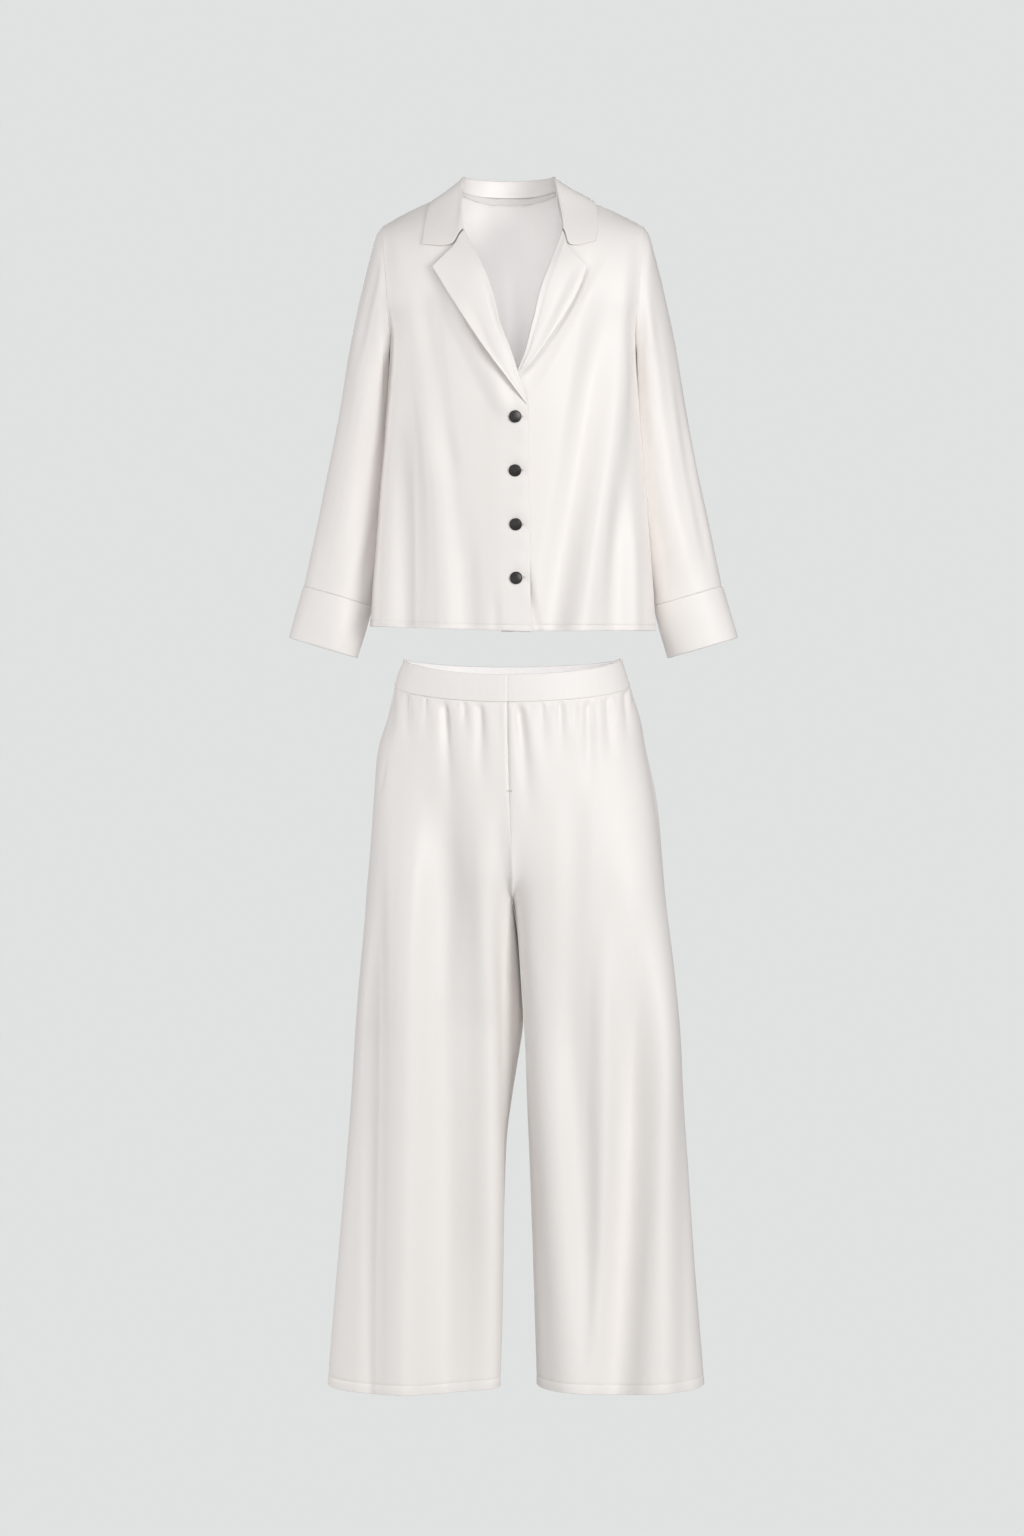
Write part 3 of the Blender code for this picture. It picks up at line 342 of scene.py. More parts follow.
def relaxed(grid, heights, reach, passes=220, hold=5):
    """Rounds off a crease that runs across a panel at some height; the side edges stay put."""
    column = np.arange(grid.shape[1])
    free = ease(np.minimum(column, column[::-1]) / hold)
    middle = np.median(grid[..., 2], axis=1)
    weight = np.zeros(len(grid))
    for z in heights:
        weight = np.maximum(weight, ease(1.3 - np.abs(middle - z) / reach))
    share = 0.5 * (weight[1:-1, None] * free[None, :])[..., None]
    for _ in range(passes):
        grid[1:-1] += share * ((grid[:-2] + grid[2:]) / 2 - grid[1:-1])
    return grid


def lengths(grid, axis):
    """How far along the cloth each point is from the start of its row or column."""
    gaps = np.linalg.norm(np.diff(grid, axis=axis), axis=2)
    zero = np.zeros_like(np.take(gaps, [0], axis=axis))
    return np.concatenate([zero, np.cumsum(gaps, axis=axis)], axis=axis)


def from_last(grid):
    """How far along the cloth each point is from the end of its column."""
    up = lengths(grid, 0)
    return up[[-1]] - up


def far_along(line, power=1.0):
    """How far along a line each of its points is."""
    return np.concatenate([[0], np.cumsum(np.linalg.norm(np.diff(line, axis=0), axis=1) ** power)])


def read_line(line, far, at):
    """The point of a line where its measure, `far`, reaches a value."""
    return np.array([np.interp(at, far, line[:, axis]) for axis in range(3)])


def smoothed(grid, passes):
    """Draws every row but the first and last towards its two neighbours."""
    for _ in range(passes):
        grid[1:-1] = grid[1:-1] / 2 + (grid[:-2] + grid[2:]) / 4
    return grid


def cloth(node_name, grid, look=ivory_satin, kind="satin", closed=False, thickness=CLOTH_MM):
    """A mesh of the grid, in metres, with the thickness of cloth behind its face."""
    name = f"{node_name}_{kind}"
    rows, columns = grid.shape[:2]
    whole = np.concatenate([grid, grid[:, :1]], axis=1) if closed else grid
    u, v = lengths(whole, 1), lengths(whole, 0)
    u = u - u[:, [u.shape[1] // 2]]
    r, c = np.meshgrid(np.arange(rows - 1), np.arange(whole.shape[1] - 1), indexing="ij")
    corners = [(r, c), (r, c + 1), (r + 1, c + 1), (r + 1, c)]
    faces = np.stack([a * columns + b % columns for a, b in corners], axis=-1).reshape(-1, 4)
    mesh = bpy.data.meshes.new(name)
    mesh.from_pydata((grid.reshape(-1, 3) * MM).tolist(), [], faces.tolist())
    uv = np.stack([np.stack([u[a, b], v[a, b]], axis=-1) for a, b in corners], axis=2)
    mesh.uv_layers.new(name="cloth").data.foreach_set("uv", (uv * MM).astype(np.float32).ravel())
    mesh.shade_smooth()
    mesh.materials.append(look)
    piece = added(name, mesh)
    wall = piece.modifiers.new("thickness", "SOLIDIFY")
    wall.thickness = thickness * MM
    wall.offset = -1
    pieces[node_name] = piece
    print(f"{name}: {rows} x {columns} points")


# %% [markdown]
# A raw edge of satin would fray, so every free edge is turned under. `turned_under` adds the turn,
# a half circle, and then a strip that goes back inside behind the panel.

# %% Turned edges
TURN_MM = 0.75  # radius of a turned edge
HEM_INSIDE = 9.0


def turned_under(grid, ways, inside=HEM_INSIDE, axis=0, last=False):
    """Adds a turned edge before the first row or column, or after the last one.

    `ways` is the way that the panel faces at each point; the new points get theirs too.
    """
    points, ways = np.moveaxis(grid, axis, 0), np.moveaxis(ways, axis, 0)
    if last:
        points, ways = points[::-1], ways[::-1]
    out = points[0] - points[2]
    out /= np.linalg.norm(out, axis=1, keepdims=True)
    far = np.median(np.cumsum(np.linalg.norm(np.diff(points, axis=0), axis=2), axis=0), axis=1)
    rows = sorted(set(np.searchsorted(far, np.linspace(inside, 1.2, 7)) + 1), reverse=True)
    strip = [points[r] - 2 * TURN_MM * ways[r] for r in rows]
    turns = np.linspace(math.pi, 0.25, 7)
    bend = [points[0] + TURN_MM * (ways[0] * (math.cos(a) - 1) + out * math.sin(a)) for a in turns]
    whole = np.concatenate([strip, bend, points])
    faced = np.concatenate([ways[rows], [ways[0]] * len(bend), ways])
    if last:
        whole, faced = whole[::-1], faced[::-1]
    return np.moveaxis(whole, 0, axis), np.moveaxis(faced, 0, axis)


# %% [markdown]
# ## Folds
#
# A fold is a soft trough or ridge that runs down the cloth along a slightly bowed line. Each
# table row gives the line's height range, where it starts, passes and ends from left to right,
# its half width, its depth, which is below 0 for a trough, and how far its crest leans to one
# side. A fold that reaches a hem simply has its foot below it. On top of the folds, `ripple` adds
# the slight unevenness of limp cloth: a sum of long waves, longer from top to bottom than across.

# %% Folds
Fold = namedtuple("Fold", "top foot x_top x_mid x_foot width depth lean", defaults=(0.0,))


def fold_height(table, x, z):
    total = np.zeros(np.broadcast(x, z).shape)
    for fold in table:
        t = (fold.top - z) / (fold.top - fold.foot)
        path = fold.x_top * (1 - t) * (1 - 2 * t) + fold.x_mid * 4 * t * (1 - t)
        path = path + fold.x_foot * t * (2 * t - 1)
        away = np.clip((x - path) / (fold.width * (0.85 + 0.3 * t)), -1, 1)
        away = away + fold.lean * (1 - away * away)
        fade = ease(t * 4) * ease((1 - t) * 4)
        total += fold.depth * fade * np.cos(np.pi / 2 * np.clip(away, -1, 1)) ** 2
    return total


def ripple(grid, seed, height, size=70.0):
    """Slight waves all over a panel."""
    draw = np.random.default_rng(seed)
    total = np.zeros(grid.shape[:2])
    for _ in range(6):
        turn, phase = draw.uniform(0, 2 * np.pi, 2)
        wave = 2 * np.pi / (size * draw.uniform(0.6, 1.5))
        way = np.array([math.cos(turn), math.sin(turn), 0.35 * draw.uniform(-1, 1)])
        total += np.sin(grid @ way * wave + phase)
    return total * height / 3


# %% [markdown]
# ## The jacket's body
#
# Three panels make the body: two fronts and a back, joined at the side seams and over the
# shoulders. Seen from above, each level of the body is an arc of an ellipse from the middle to
# the side. The fronts end at a straight closing edge, then at the line on which the lapel rolls.

# %% The body's sizes
UNDERARM_Z = -205.0
NECK_Z = 20.0
NECK_Y = 4.0
NECK_HALF = 66.0
NAPE_Y = 66.0
NAPE_Z = 11.0
GORGE_Z = -38.0
SHOULDER_ARCH = 5.0
SIDE_Y = 12.0
HEM_Z = -597.0
RISE_TOP = -480.0  # below this the hem's levels begin to rise towards the sides
RISE = {LEFT: 8, RIGHT: 2}
BACK_RISE = 5
OVERLAP_LIFT = 2.8
ARC_END = 0.66

Body = namedtuple("Body", "z half_width front back")
BODY = (
    Body(-600, 200, 100, 93),
    Body(-543, 197, 101, 92),
    Body(-473, 192, 103, 91),
    Body(-403, 187, 107, 91),
    Body(-333, 181, 111, 93),
    Body(-263, 176, 114, 96),
    Body(-193, 171, 113, 99),
    Body(-150, 170, 109, 101),
    Body(-100, 169, 97, 101),
    Body(-60, 169, 79, 97),
    Body(-36, 169, 62, 92),
    Body(-8, 169, 33, 82),
    Body(20, 169, -4, 66),
)
Edge = namedtuple("Edge", "z out")
FRONT_EDGE = (
    Edge(-600, -19.5),
    Edge(-320, -18.5),
    Edge(-280, -16.5),
    Edge(-241, -2),
    Edge(-213, 7),
    Edge(-165, 19.5),
    Edge(-123, 32.5),
    Edge(-81, 50),
    Edge(-38, 69),
    Edge(0, 68),
    Edge(20, NECK_HALF),
)
Middle = namedtuple("Middle", "z x")
MIDDLE = (
    Middle(-600, 4.5),
    Middle(-448, 3.5),
    Middle(-300, 2.5),
    Middle(-213, 6.5),
    Middle(-165, 4.5),
    Middle(-81, 3.5),
    Middle(-38, 0),
    Middle(0, -4.5),
    Middle(40, -7),
)
Sleeve = namedtuple("Sleeve", "outer_x outer_z inner_x inner_z half_depth centre_y")
SLEEVE = (
    Sleeve(183, -30, 171, UNDERARM_Z, 62, SIDE_Y),
    Sleeve(192, -44, 172.5, -213, 63, 17),
    Sleeve(200, -72, 172, -224, 63, 24),
    Sleeve(210, -113, 171, -240, 62, 32),
    Sleeve(221, -163, 169.5, -264, 60, 39),
    Sleeve(232, -221, 168.5, -300, 58, 44),
    Sleeve(242, -281, 169, -346, 56, 47),
    Sleeve(253, -341, 172, -397, 54, 48),
    Sleeve(265, -400, 177, -449, 52, 48),
    Sleeve(278, -462, 186, -503, 49, 46),
    Sleeve(293, -533, 198, -561, 45, 43),
)


# %% The body's lines
def middle_x(z):
    return curve(MIDDLE, z, "x")


def front_edge_out(side, z):
    return curve(FRONT_EDGE, z, "out") + side * middle_x(z)


def ring(side, place, angle):
    """Points round a sleeve: angle 0 is its outer edge and a quarter turn is its front."""
    middle = [(place.outer_x + place.inner_x) / 2, place.centre_y, (place.outer_z + place.inner_z) / 2]
    lean_x, lean_z = (place.outer_x - place.inner_x) / 2, (place.outer_z - place.inner_z) / 2
    x = middle[0] + lean_x * np.cos(angle)
    y = middle[1] - place.half_depth * np.sin(angle)
    return point(side * x, y, middle[2] + lean_z * np.cos(angle))


def near_hem(z):
    return below(z, RISE_TOP, RISE_TOP - HEM_Z)


def side_seam(side, z):
    return np.array([side * curve(BODY, z, "half_width"), SIDE_Y, z + RISE[side] * near_hem(z)])


def body_row(side, inner_out, inner_z, outer, depth, end_angle, across):
    """One level of a body panel, on the arc of an ellipse from its inner edge to its side."""
    reach = abs(outer[0])
    width = reach / math.sin(end_angle)
    centre = (outer[1] - depth * math.cos(end_angle)) / (1 - math.cos(end_angle))
    angle = mix(math.asin(inner_out / width), end_angle, across)
    out = width * np.sin(angle)
    share = (out - inner_out) / (reach - inner_out)
    return point(side * out, centre + (depth - centre) * np.cos(angle), mix(inner_z, outer[2], share))


def end_angle_at(t, outer, depth):
    """Where on the ellipse a level ends: at its side seam, or short of it at the armhole."""
    share = (outer[1] - SIDE_Y) / (depth - SIDE_Y) if t < 0.68 else ARC_END
    return math.acos(max(0.0, min(ARC_END, share)))


def shoulder_seam(side, t):
    neck = np.array([middle_x(NECK_Z) + side * NECK_HALF, NECK_Y, NECK_Z])
    line = mix(neck, ring(side, SLEEVE[0], 0.0), np.asarray(t)[:, None])
    line[:, 2] += SHOULDER_ARCH * np.sin(math.pi * np.asarray(t))
    return line


def back_neck(side, t):
    """The back's neck seam, from the nape (0) to the neck point (1)."""
    turn = np.asarray(t) * math.pi / 2
    x = mix(middle_x(NAPE_Z), middle_x(NECK_Z), t) + side * NECK_HALF * np.sin(turn)
    return point(x, NECK_Y + (NAPE_Y - NECK_Y) * np.cos(turn), mix(NAPE_Z, NECK_Z, t * t))


def to_top(grid, top_row, arm):
    """Bends the upper rows so that the last one becomes the top row."""
    weight = ease((arm * 9 - 5) / 4)
    return grid + (top_row - grid[-1]) * weight[:, None, None]


# %% [markdown]
# The folds of the body hang from the shoulders and the bust and swing towards the hem. They come
# in pairs, a trough beside a ridge, because that is how hanging cloth takes up its fullness: the
# slope between the two turns away from the light and makes the long dark band. The longest pair
# crosses the viewer's right front, from the shoulder to the hem near the closing edge.

# %% The body's folds
FOLDS_START = -40  # height under which the folds begin, and how far below it they are whole
FOLDS_WHOLE = 80
FRONT_FOLDS = {
    LEFT: (
        Fold(-100, -400, -124, -112, -88, 26, -7.0),
        Fold(-150, -900, -130, -98, -90, 30, 10.0),
        Fold(-260, -900, -146, -146, -148, 30, -13.0),
        Fold(-160, -900, -176, -182, -190, 30, 10.0),
        Fold(-110, -330, -88, -44, 20, 26, 6.0),
        Fold(-400, -900, -64, -56, -50, 22, -3.0),
        Fold(-520, -760, -26, -22, -20, 12, -3.0),
    ),
    RIGHT: (
        Fold(-60, -900, 142, 74, 5, 37, -12.0),
        Fold(-60, -900, 178, 111, 42, 37, 10.0),
        Fold(-340, -900, 150, 144, 140, 24, -7.0),
        Fold(-370, -900, 172, 170, 172, 20, 5.0),
        Fold(-30, -300, 128, 66, -20, 24, -8.0),
        Fold(-490, -640, 10, 26, 46, 13, -7.0),
    ),
}
BACK_FOLDS = (
    Fold(-60, -900, -46, -52, -60, 34, -10.0, 0.1),
    Fold(-90, -900, -92, -98, -104, 30, 8.0),
    Fold(-140, -900, -138, -142, -146, 28, -8.0),
    Fold(-90, -900, 24, 30, 36, 36, 8.0),
    Fold(-60, -900, 76, 84, 96, 32, -10.0, -0.1),
    Fold(-140, -900, 124, 132, 142, 28, 8.0),
    Fold(-40, -420, -8, -4, 2, 26, -4.0),
)
SHOULDER_ACROSS = steps(78, (0.004, 0.01))
NECK_COLUMNS = 34
NECK_SHARE = 0.36  # of half the back's width
SHOULDER_ROWS = 30  # rows that are rounded on each side of the shoulder seam
SHOULDER_PASSES = 60
UNDERARM_REACH = 60  # how far from the underarm's height the crease there is relaxed
HEM_ROWS = (0.003, 0.006, 0.0165, 0.0185, 0.0205, 0.0225, 0.0245)


def body_levels():
    """Heights of the rows, from the hem up, and how far up the armhole each one is.

    They are closer together at the hem and the shoulder.
    """
    low = mix(HEM_Z, UNDERARM_Z, steps(114, HEM_ROWS, end=False))
    high = mix(UNDERARM_Z, NECK_Z, np.sin(np.linspace(0, math.pi / 2, 72)))
    levels = np.concatenate([low, high[1:]])
    return levels, np.clip((levels - UNDERARM_Z) / (NECK_Z - UNDERARM_Z), 0, 1)


def front_grid(side):
    levels, arm = body_levels()
    rows = []
    for z, t in zip(levels, arm):
        outer = side_seam(side, z) if t == 0 else ring(side, SLEEVE[0], math.pi * (1 - t))
        depth = -curve(BODY, z, "front")
        end = end_angle_at(t, outer, depth)
        rows.append(body_row(side, front_edge_out(side, z), z, outer, depth, end, SHOULDER_ACROSS))
    return to_top(np.array(rows), shoulder_seam(side, SHOULDER_ACROSS), arm)


def back_grid():
    at_neck = np.linspace(0, 1, NECK_COLUMNS + 1)[:-1]
    inner = np.linspace(0, NECK_SHARE, NECK_COLUMNS + 1)[:-1]
    places = np.concatenate([inner, NECK_SHARE + (1 - NECK_SHARE) * SHOULDER_ACROSS])
    levels, arm = body_levels()
    halves = []
    for side in SIDES:
        rows = []
        for z, t in zip(levels, arm):
            level = z if t == 0 else mix(UNDERARM_Z, NAPE_Z, t)
            outer = side_seam(side, z) if t == 0 else ring(side, SLEEVE[0], math.pi * (1 + t))
            level = level + BACK_RISE * near_hem(level)
            depth = curve(BODY, level, "back")
            rows.append(body_row(side, 0.0, level, outer, depth, end_angle_at(t, outer, depth), places))
        top = np.concatenate([back_neck(side, at_neck), shoulder_seam(side, SHOULDER_ACROSS)])
        halves.append(to_top(np.array(rows), top, arm))
    return np.concatenate([halves[0][:, ::-1], halves[1][:, 1:]], axis=1)


def soften_shoulder(front, back, side):
    """Rounds the ridge where a front and the back meet over the shoulder."""
    count = front.shape[1]
    behind = slice(count - 1, None, -1) if side == LEFT else slice(back.shape[1] - count, None)
    strip = np.concatenate([front[-SHOULDER_ROWS:], back[-SHOULDER_ROWS:-1, behind][::-1]])
    level = np.abs(np.arange(len(strip)) - (SHOULDER_ROWS - 1)) / (SHOULDER_ROWS - 1)
    hold = np.sin(math.pi * np.clip(SHOULDER_ACROSS, 0.02, 0.98)) ** 0.5
    weight = (ease(1.15 - level)[:, None] * hold[None, :])[..., None]
    for _ in range(SHOULDER_PASSES):
        average = (strip[:-2] + strip[2:]) / 2
        strip[1:-1] += 0.5 * weight[1:-1] * (average - strip[1:-1])
    front[-SHOULDER_ROWS:] = strip[:SHOULDER_ROWS]
    back[-SHOULDER_ROWS:, behind] = strip[SHOULDER_ROWS - 1:][::-1]


def soften_nape(grid, rows=64, spread=22, passes=160):
    """Smooths the back below the neck points, where the neck seam turns into the shoulder's."""
    middle = grid.shape[1] // 2
    away = np.abs(np.abs(np.arange(grid.shape[1]) - middle) - NECK_COLUMNS)
    down = np.arange(rows)[::-1]
    weight = ease(1.2 - away / spread)[None, :] * (ease(down / 4) * ease(2 - 2 * down / rows))[:, None]
    part = grid[-rows:]
    for _ in range(passes):
        average = part.copy()
        average[1:-1, 1:-1] = (part[:-2, 1:-1] + part[2:, 1:-1] + part[1:-1, :-2] + part[1:-1, 2:]) / 4
        part += 0.8 * weight[..., None] * (average - part)
    return grid


fronts = {side: front_grid(side) for side in SIDES}
back = soften_nape(back_grid())
for side in SIDES:
    fronts[side] = relaxed(fronts[side], (UNDERARM_Z,), UNDERARM_REACH)
    soften_shoulder(fronts[side], back, side)
back = relaxed(back, (UNDERARM_Z,), UNDERARM_REACH)
print("body levels:", fronts[LEFT].shape[0])


# %% Folding the body
BODY_HEM = 8.0  # from the edge to the hem's line of stitches
LEG_HEM = 13.0
HEM_THICK = 0.45  # how far the doubled cloth stands out below the stitches
HEM_DRAWN = 0.5  # how far the stitches sink


def hem_relief(grid, far, line):
    """A sewn hem: thicker below its stitches, drawn in along them, with fine puckers."""
    along = lengths(grid, 1)
    thick = HEM_THICK * ease((line - far) / 3)
    drawn = HEM_DRAWN * bell(far - line, 1.5)
    pucker = 0.22 * np.sin(along * 0.83) + 0.16 * np.sin(along * 0.47 + 1.0)
    return thick - drawn + pucker * bell(far - line, 7)


BUTTON_SPOTS = [(2.1, -298.2), (2.5, -373.1), (3.5, -448.7), (4.9, -522.2)]
DIMPLE_DEPTH = 1.7
DIMPLE_REACH = 12.0
Pull = namedtuple("Pull", "depth right up slant wide high")
CREASE = Pull(-1.5, 10, 0, 0.30, 8.0, 4.2)
SWELL = Pull(1.1, 10, -22, 0.0, 9.0, 14.0)


def pull_height(pull, dx, dz):
    return pull.depth * bell(dz - pull.up + pull.slant * dx, pull.high) * bell(dx - pull.right, pull.wide)


def button_pulls(x, z):
    """Each button holds the cloth down; from it a short crease runs to the closing edge."""
    total = np.zeros(x.shape)
    for i, (at_x, at_z) in enumerate(BUTTON_SPOTS):
        dx, dz = x - at_x, z - at_z
        total -= DIMPLE_DEPTH * np.exp(-(dx ** 2 + dz ** 2) / DIMPLE_REACH ** 2)
        for pull in (CREASE, Pull(1.6 - 0.4 * (i % 2), 8, 20, 0.2, 11.0, 12.0), SWELL):
            total += pull_height(pull, dx, dz)
    return total


ARMHOLE_SEAM = 0.7  # how far the sleeve's first millimetres sink
ARMHOLE_DIP = 9.0
ARMHOLE_REACH = 15.0
ROLL_LIFT = 10.0
ROLL_REACH = 42.0
RIPPLE_SEED = {LEFT: 3, RIGHT: 4}


def armhole_dip(grid, side):
    """Sinks the cloth along the armhole, where the arm's cloth and the body's turn inwards."""
    angle = np.linspace(0, 2 * math.pi, 145)
    seam = ring(side, SLEEVE[0], angle)
    spots = grid.reshape(-1, 3)
    near = np.argwhere((spots[:, 0] * side > 110) & (spots[:, 2] > -300)).ravel()
    gap = np.linalg.norm(spots[near, None, :] - seam[None, :, :], axis=2)
    closest = np.argmin(gap, axis=1)
    share = bell(gap[np.arange(len(near)), closest], ARMHOLE_REACH)
    sunk = spots.copy()
    sunk[near, 1] += ARMHOLE_DIP * np.sin(angle[closest]) * share
    return sunk.reshape(grid.shape)


for side in SIDES:
    grid = facing(fronts[side], (0, -1, 0))
    x, z = grid[..., 0], grid[..., 2]
    out = side * x
    edge = front_edge_out(side, z)
    beyond = out - edge
    share = np.clip(beyond / (curve(BODY, z, "half_width") - edge), 0, 1)
    height = fold_height(FRONT_FOLDS[side], x, z) * ease(7 * (1 - share)) * below(z, FOLDS_START, FOLDS_WHOLE)
    free = ease(beyond / 40)
    height *= 0.25 + 0.75 * free
    height += ripple(grid, RIPPLE_SEED[side], 0.6) * free * ease(6 * (1 - share))
    if side == LEFT:
        height += OVERLAP_LIFT * ease((45 - out) / 30) * below(z, -150, 60)
        height += button_pulls(x, z)
    height += hem_relief(grid, z - HEM_Z, BODY_HEM)
    height += ROLL_LIFT * bell(beyond, ROLL_REACH) * below(z, -45, 60) * above(z, -290, 110)
    fronts[side] = armhole_dip(pushed(grid, height), side)

back = facing(back, (0, 1, 0))
x, z = back[..., 0], back[..., 2]
share = np.abs(x) / curve(BODY, z, "half_width")
height = fold_height(BACK_FOLDS, x, z) * ease(5 * (1 - share) - 0.2) * below(z, FOLDS_START, FOLDS_WHOLE)
height += ripple(back, 5, 0.7) * ease(6 * (1 - share)) * below(z, -20, 60)
height += hem_relief(back, lengths(back, 0), BODY_HEM)
back = armhole_dip(armhole_dip(pushed(back, height), LEFT), RIGHT)

EDGE_INSIDE = 14.0  # how far the closing edge's turned strip reaches back


def hemmed_front(side):
    """A front with its hem and its closing edge turned under, up to where the lapel rolls."""
    whole, ways = turned_under(fronts[side], directions(fronts[side]))
    low = len(whole) // 4
    edge_is_last = abs(whole[low, 0, 0]) > abs(whole[low, -1, 0])
    return turned_under(whole, ways, EDGE_INSIDE, axis=1, last=edge_is_last)[0]


for side, name in SIDES.items():
    cloth(f"front_{name}", hemmed_front(side))
cloth("back", turned_under(back, directions(back))[0])


# %% [markdown]
# ## Sleeves
#
# A sleeve is a tube with its own slow folds. They run along the arm, not straight down, so their
# places are given round the tube: `at` is the share of a full turn from the sleeve's outer edge,
# and a quarter is its front.

# %% The sleeves
SleeveFold = namedtuple("SleeveFold", "start end at_start at_end width depth")
SLEEVE_FOLDS = {
    LEFT: (
        SleeveFold(0.00, 0.50, 0.16, 0.14, 0.05, -2.5),
        SleeveFold(0.10, 1.20, 0.40, 0.38, 0.09, -5.0),
        SleeveFold(0.35, 1.20, 0.20, 0.18, 0.08, 2.5),
        SleeveFold(0.10, 1.20, 0.58, 0.61, 0.07, 4.0),
        SleeveFold(0.05, 1.20, 0.72, 0.70, 0.08, -5.0),
        SleeveFold(0.15, 1.20, 0.85, 0.84, 0.07, 4.0),
    ),
    RIGHT: (
        SleeveFold(0.10, 1.20, 0.27, 0.24, 0.09, 5.0),
        SleeveFold(0.45, 1.20, 0.10, 0.12, 0.06, -3.0),
        SleeveFold(0.10, 1.20, 0.60, 0.57, 0.07, -4.5),
        SleeveFold(0.05, 1.20, 0.72, 0.74, 0.08, 5.0),
        SleeveFold(0.15, 1.20, 0.86, 0.85, 0.07, -4.0),
    ),
}
ROUND_SLEEVE = np.linspace(0, 2 * math.pi, 96, endpoint=False)


def sleeve_fold_height(table, t, angle):
    total = np.zeros((len(t), len(angle)))
    for fold in table:
        along = ((t - fold.start) / (fold.end - fold.start))[:, None]
        place = mix(fold.at_start, fold.at_end, along)
        away = (angle[None, :] / (2 * math.pi) - place + 0.5) % 1.0 - 0.5
        fade = ease(along * 4) * ease((1 - along) * 4)
        total += fold.depth * fade * np.cos(np.pi / 2 * np.clip(away / fold.width, -1, 1)) ** 2
    return total


def sleeve_grid(side):
    t = steps(100, (0.003, 0.006))
    grid = np.array([ring(side, spaced(SLEEVE, place), ROUND_SLEEVE) for place in t])
    height = sleeve_fold_height(SLEEVE_FOLDS[side], t, ROUND_SLEEVE)
    height = height * (ease(t * 5) * ease((1 - t) * 9))[:, None]
    if directions(grid, True)[len(grid) // 2, 0] @ [side, 0, 0] < 0:
        grid, height = grid[:, ::-1].copy(), height[:, ::-1]
    height = height + ripple(grid, 7 + side, 0.5, 50.0) * (ease(t * 8) * ease((1 - t) * 12))[:, None]
    height = height - ARMHOLE_SEAM * bell(lengths(grid, 0), 2.2)
    return armhole_dip(pushed(grid, height, True), side)


for side, name in SIDES.items():
    cloth(f"sleeve_{name}", sleeve_grid(side), closed=True)


# %% [markdown]
# ## Cuffs
#
# Each cuff is a deep band of doubled satin. The section runs down its outer face from the seam,
# turns under at the wrist in a soft edge and goes up again inside the sleeve, so the band has no
# raw edge. It stands a little proud of the sleeve and is as wide at the wrist as at the seam.

# %% The cuffs
CUFF = (
    Sleeve(293, -533, 198, -561, 45, 43),
    Sleeve(303, -569, 207, -597, 45, 42),
    Sleeve(313, -606, 218, -634, 43, 41),
)
CUFF_LENGTH = 75.0
CUFF_PROUD = 1.3
CUFF_EDGE = 1.1  # radius of the turned edge
CUFF_LAP = 26.0  # how far the doubled cloth reaches up inside


def cuff_section():
    """Places down the face, round the turned edge and up inside: how far along, how far out."""
    last, inner = CUFF_LENGTH - CUFF_EDGE, CUFF_PROUD - 2 * CUFF_EDGE
    face = [(0.0, 0.2), (0.4, 0.6 * CUFF_PROUD), (1.0, CUFF_PROUD), (2.2, CUFF_PROUD)]
    face += [(d, CUFF_PROUD) for d in np.linspace(4, last - 0.5, 24)]
    bend = [(last + CUFF_EDGE * math.sin(a), CUFF_PROUD - CUFF_EDGE + CUFF_EDGE * math.cos(a))
            for a in np.linspace(0, math.pi, 7)]
    return np.array(face + bend + [(d, inner) for d in np.linspace(last - 1.5, CUFF_LENGTH - CUFF_LAP, 9)])


def cuff_grid(side):
    along, out = cuff_section().T
    share = along / CUFF_LENGTH
    grid = np.array([ring(side, spaced(CUFF, min(1.0, t)), ROUND_SLEEVE) for t in share])
    way = directions(np.array([ring(side, place, ROUND_SLEEVE) for place in CUFF]), True)[1]
    flip = way[0, 0] * side < 0
    way = -way if flip else way
    soft = 1.1 * np.sin(2 * ROUND_SLEEVE + 0.6 * side) + 0.7 * np.sin(3 * ROUND_SLEEVE + 1.0)
    grid = grid + way[None] * out[:, None, None]
    grid = grid + way[None] * (soft[None, :] * ease(share)[:, None])[..., None]
    return grid[:, ::-1].copy() if flip else grid


for side, name in SIDES.items():
    cloth(f"cuff_{name}", cuff_grid(side), closed=True)


# %% [markdown]
# ## Laying cloth on cloth
#
# The lapels and the collar lie on the body, so they must know where the body is. A BVH tree
# answers that: a ray sent from the front through a place on the front view finds the body's
# point there and the way it faces.

# %% Finding the surface
def tree_of(*grids):
    points, faces = [], []
    for grid in grids:
        first, columns = len(points), grid.shape[1]
        points += [Vector(p) for p in grid.reshape(-1, 3)]
        for r in range(grid.shape[0] - 1):
            for c in range(columns - 1):
                a = first + r * columns + c
                faces.append((a, a + 1, a + columns + 1, a + columns))
    return BVHTree.FromPolygons(points, faces)


def seen_from_front(surface, x, z):
    """The point of the body behind a place on the front view, and the way it faces."""
    spot, way, _, _ = surface.ray_cast(Vector((x, -400, z)), Vector((0, 1, 0)))
    if spot is None:
        spot, way, _, _ = surface.find_nearest(Vector((x, -105, z)))
    if way.y > 0:
        way = -way
    return np.array(spot), np.array(way)


def free_edge(grid):
    """The front's closing edge, roll line and neck seam, from the hem up."""
    first, last = grid[:, 0], grid[:, -1]
    return np.where(np.abs(first[:, :1]) < np.abs(last[:, :1]), first, last)


def at_height(line, z):
    return read_line(line, line[:, 2], z)


# %% [markdown]
# ## Lapels
#
# A lapel is the top of the front, faced with a second layer and rolled open. It springs from the
# roll line in a soft round turn of a few millimetres, and its outer edge stands off the front, by
# about 2 mm at the foot and up to 15 mm higher up, which gives the long shadow beside it. The
# facing starts behind the front's edge, so the roll is one round fold with no raw edge.

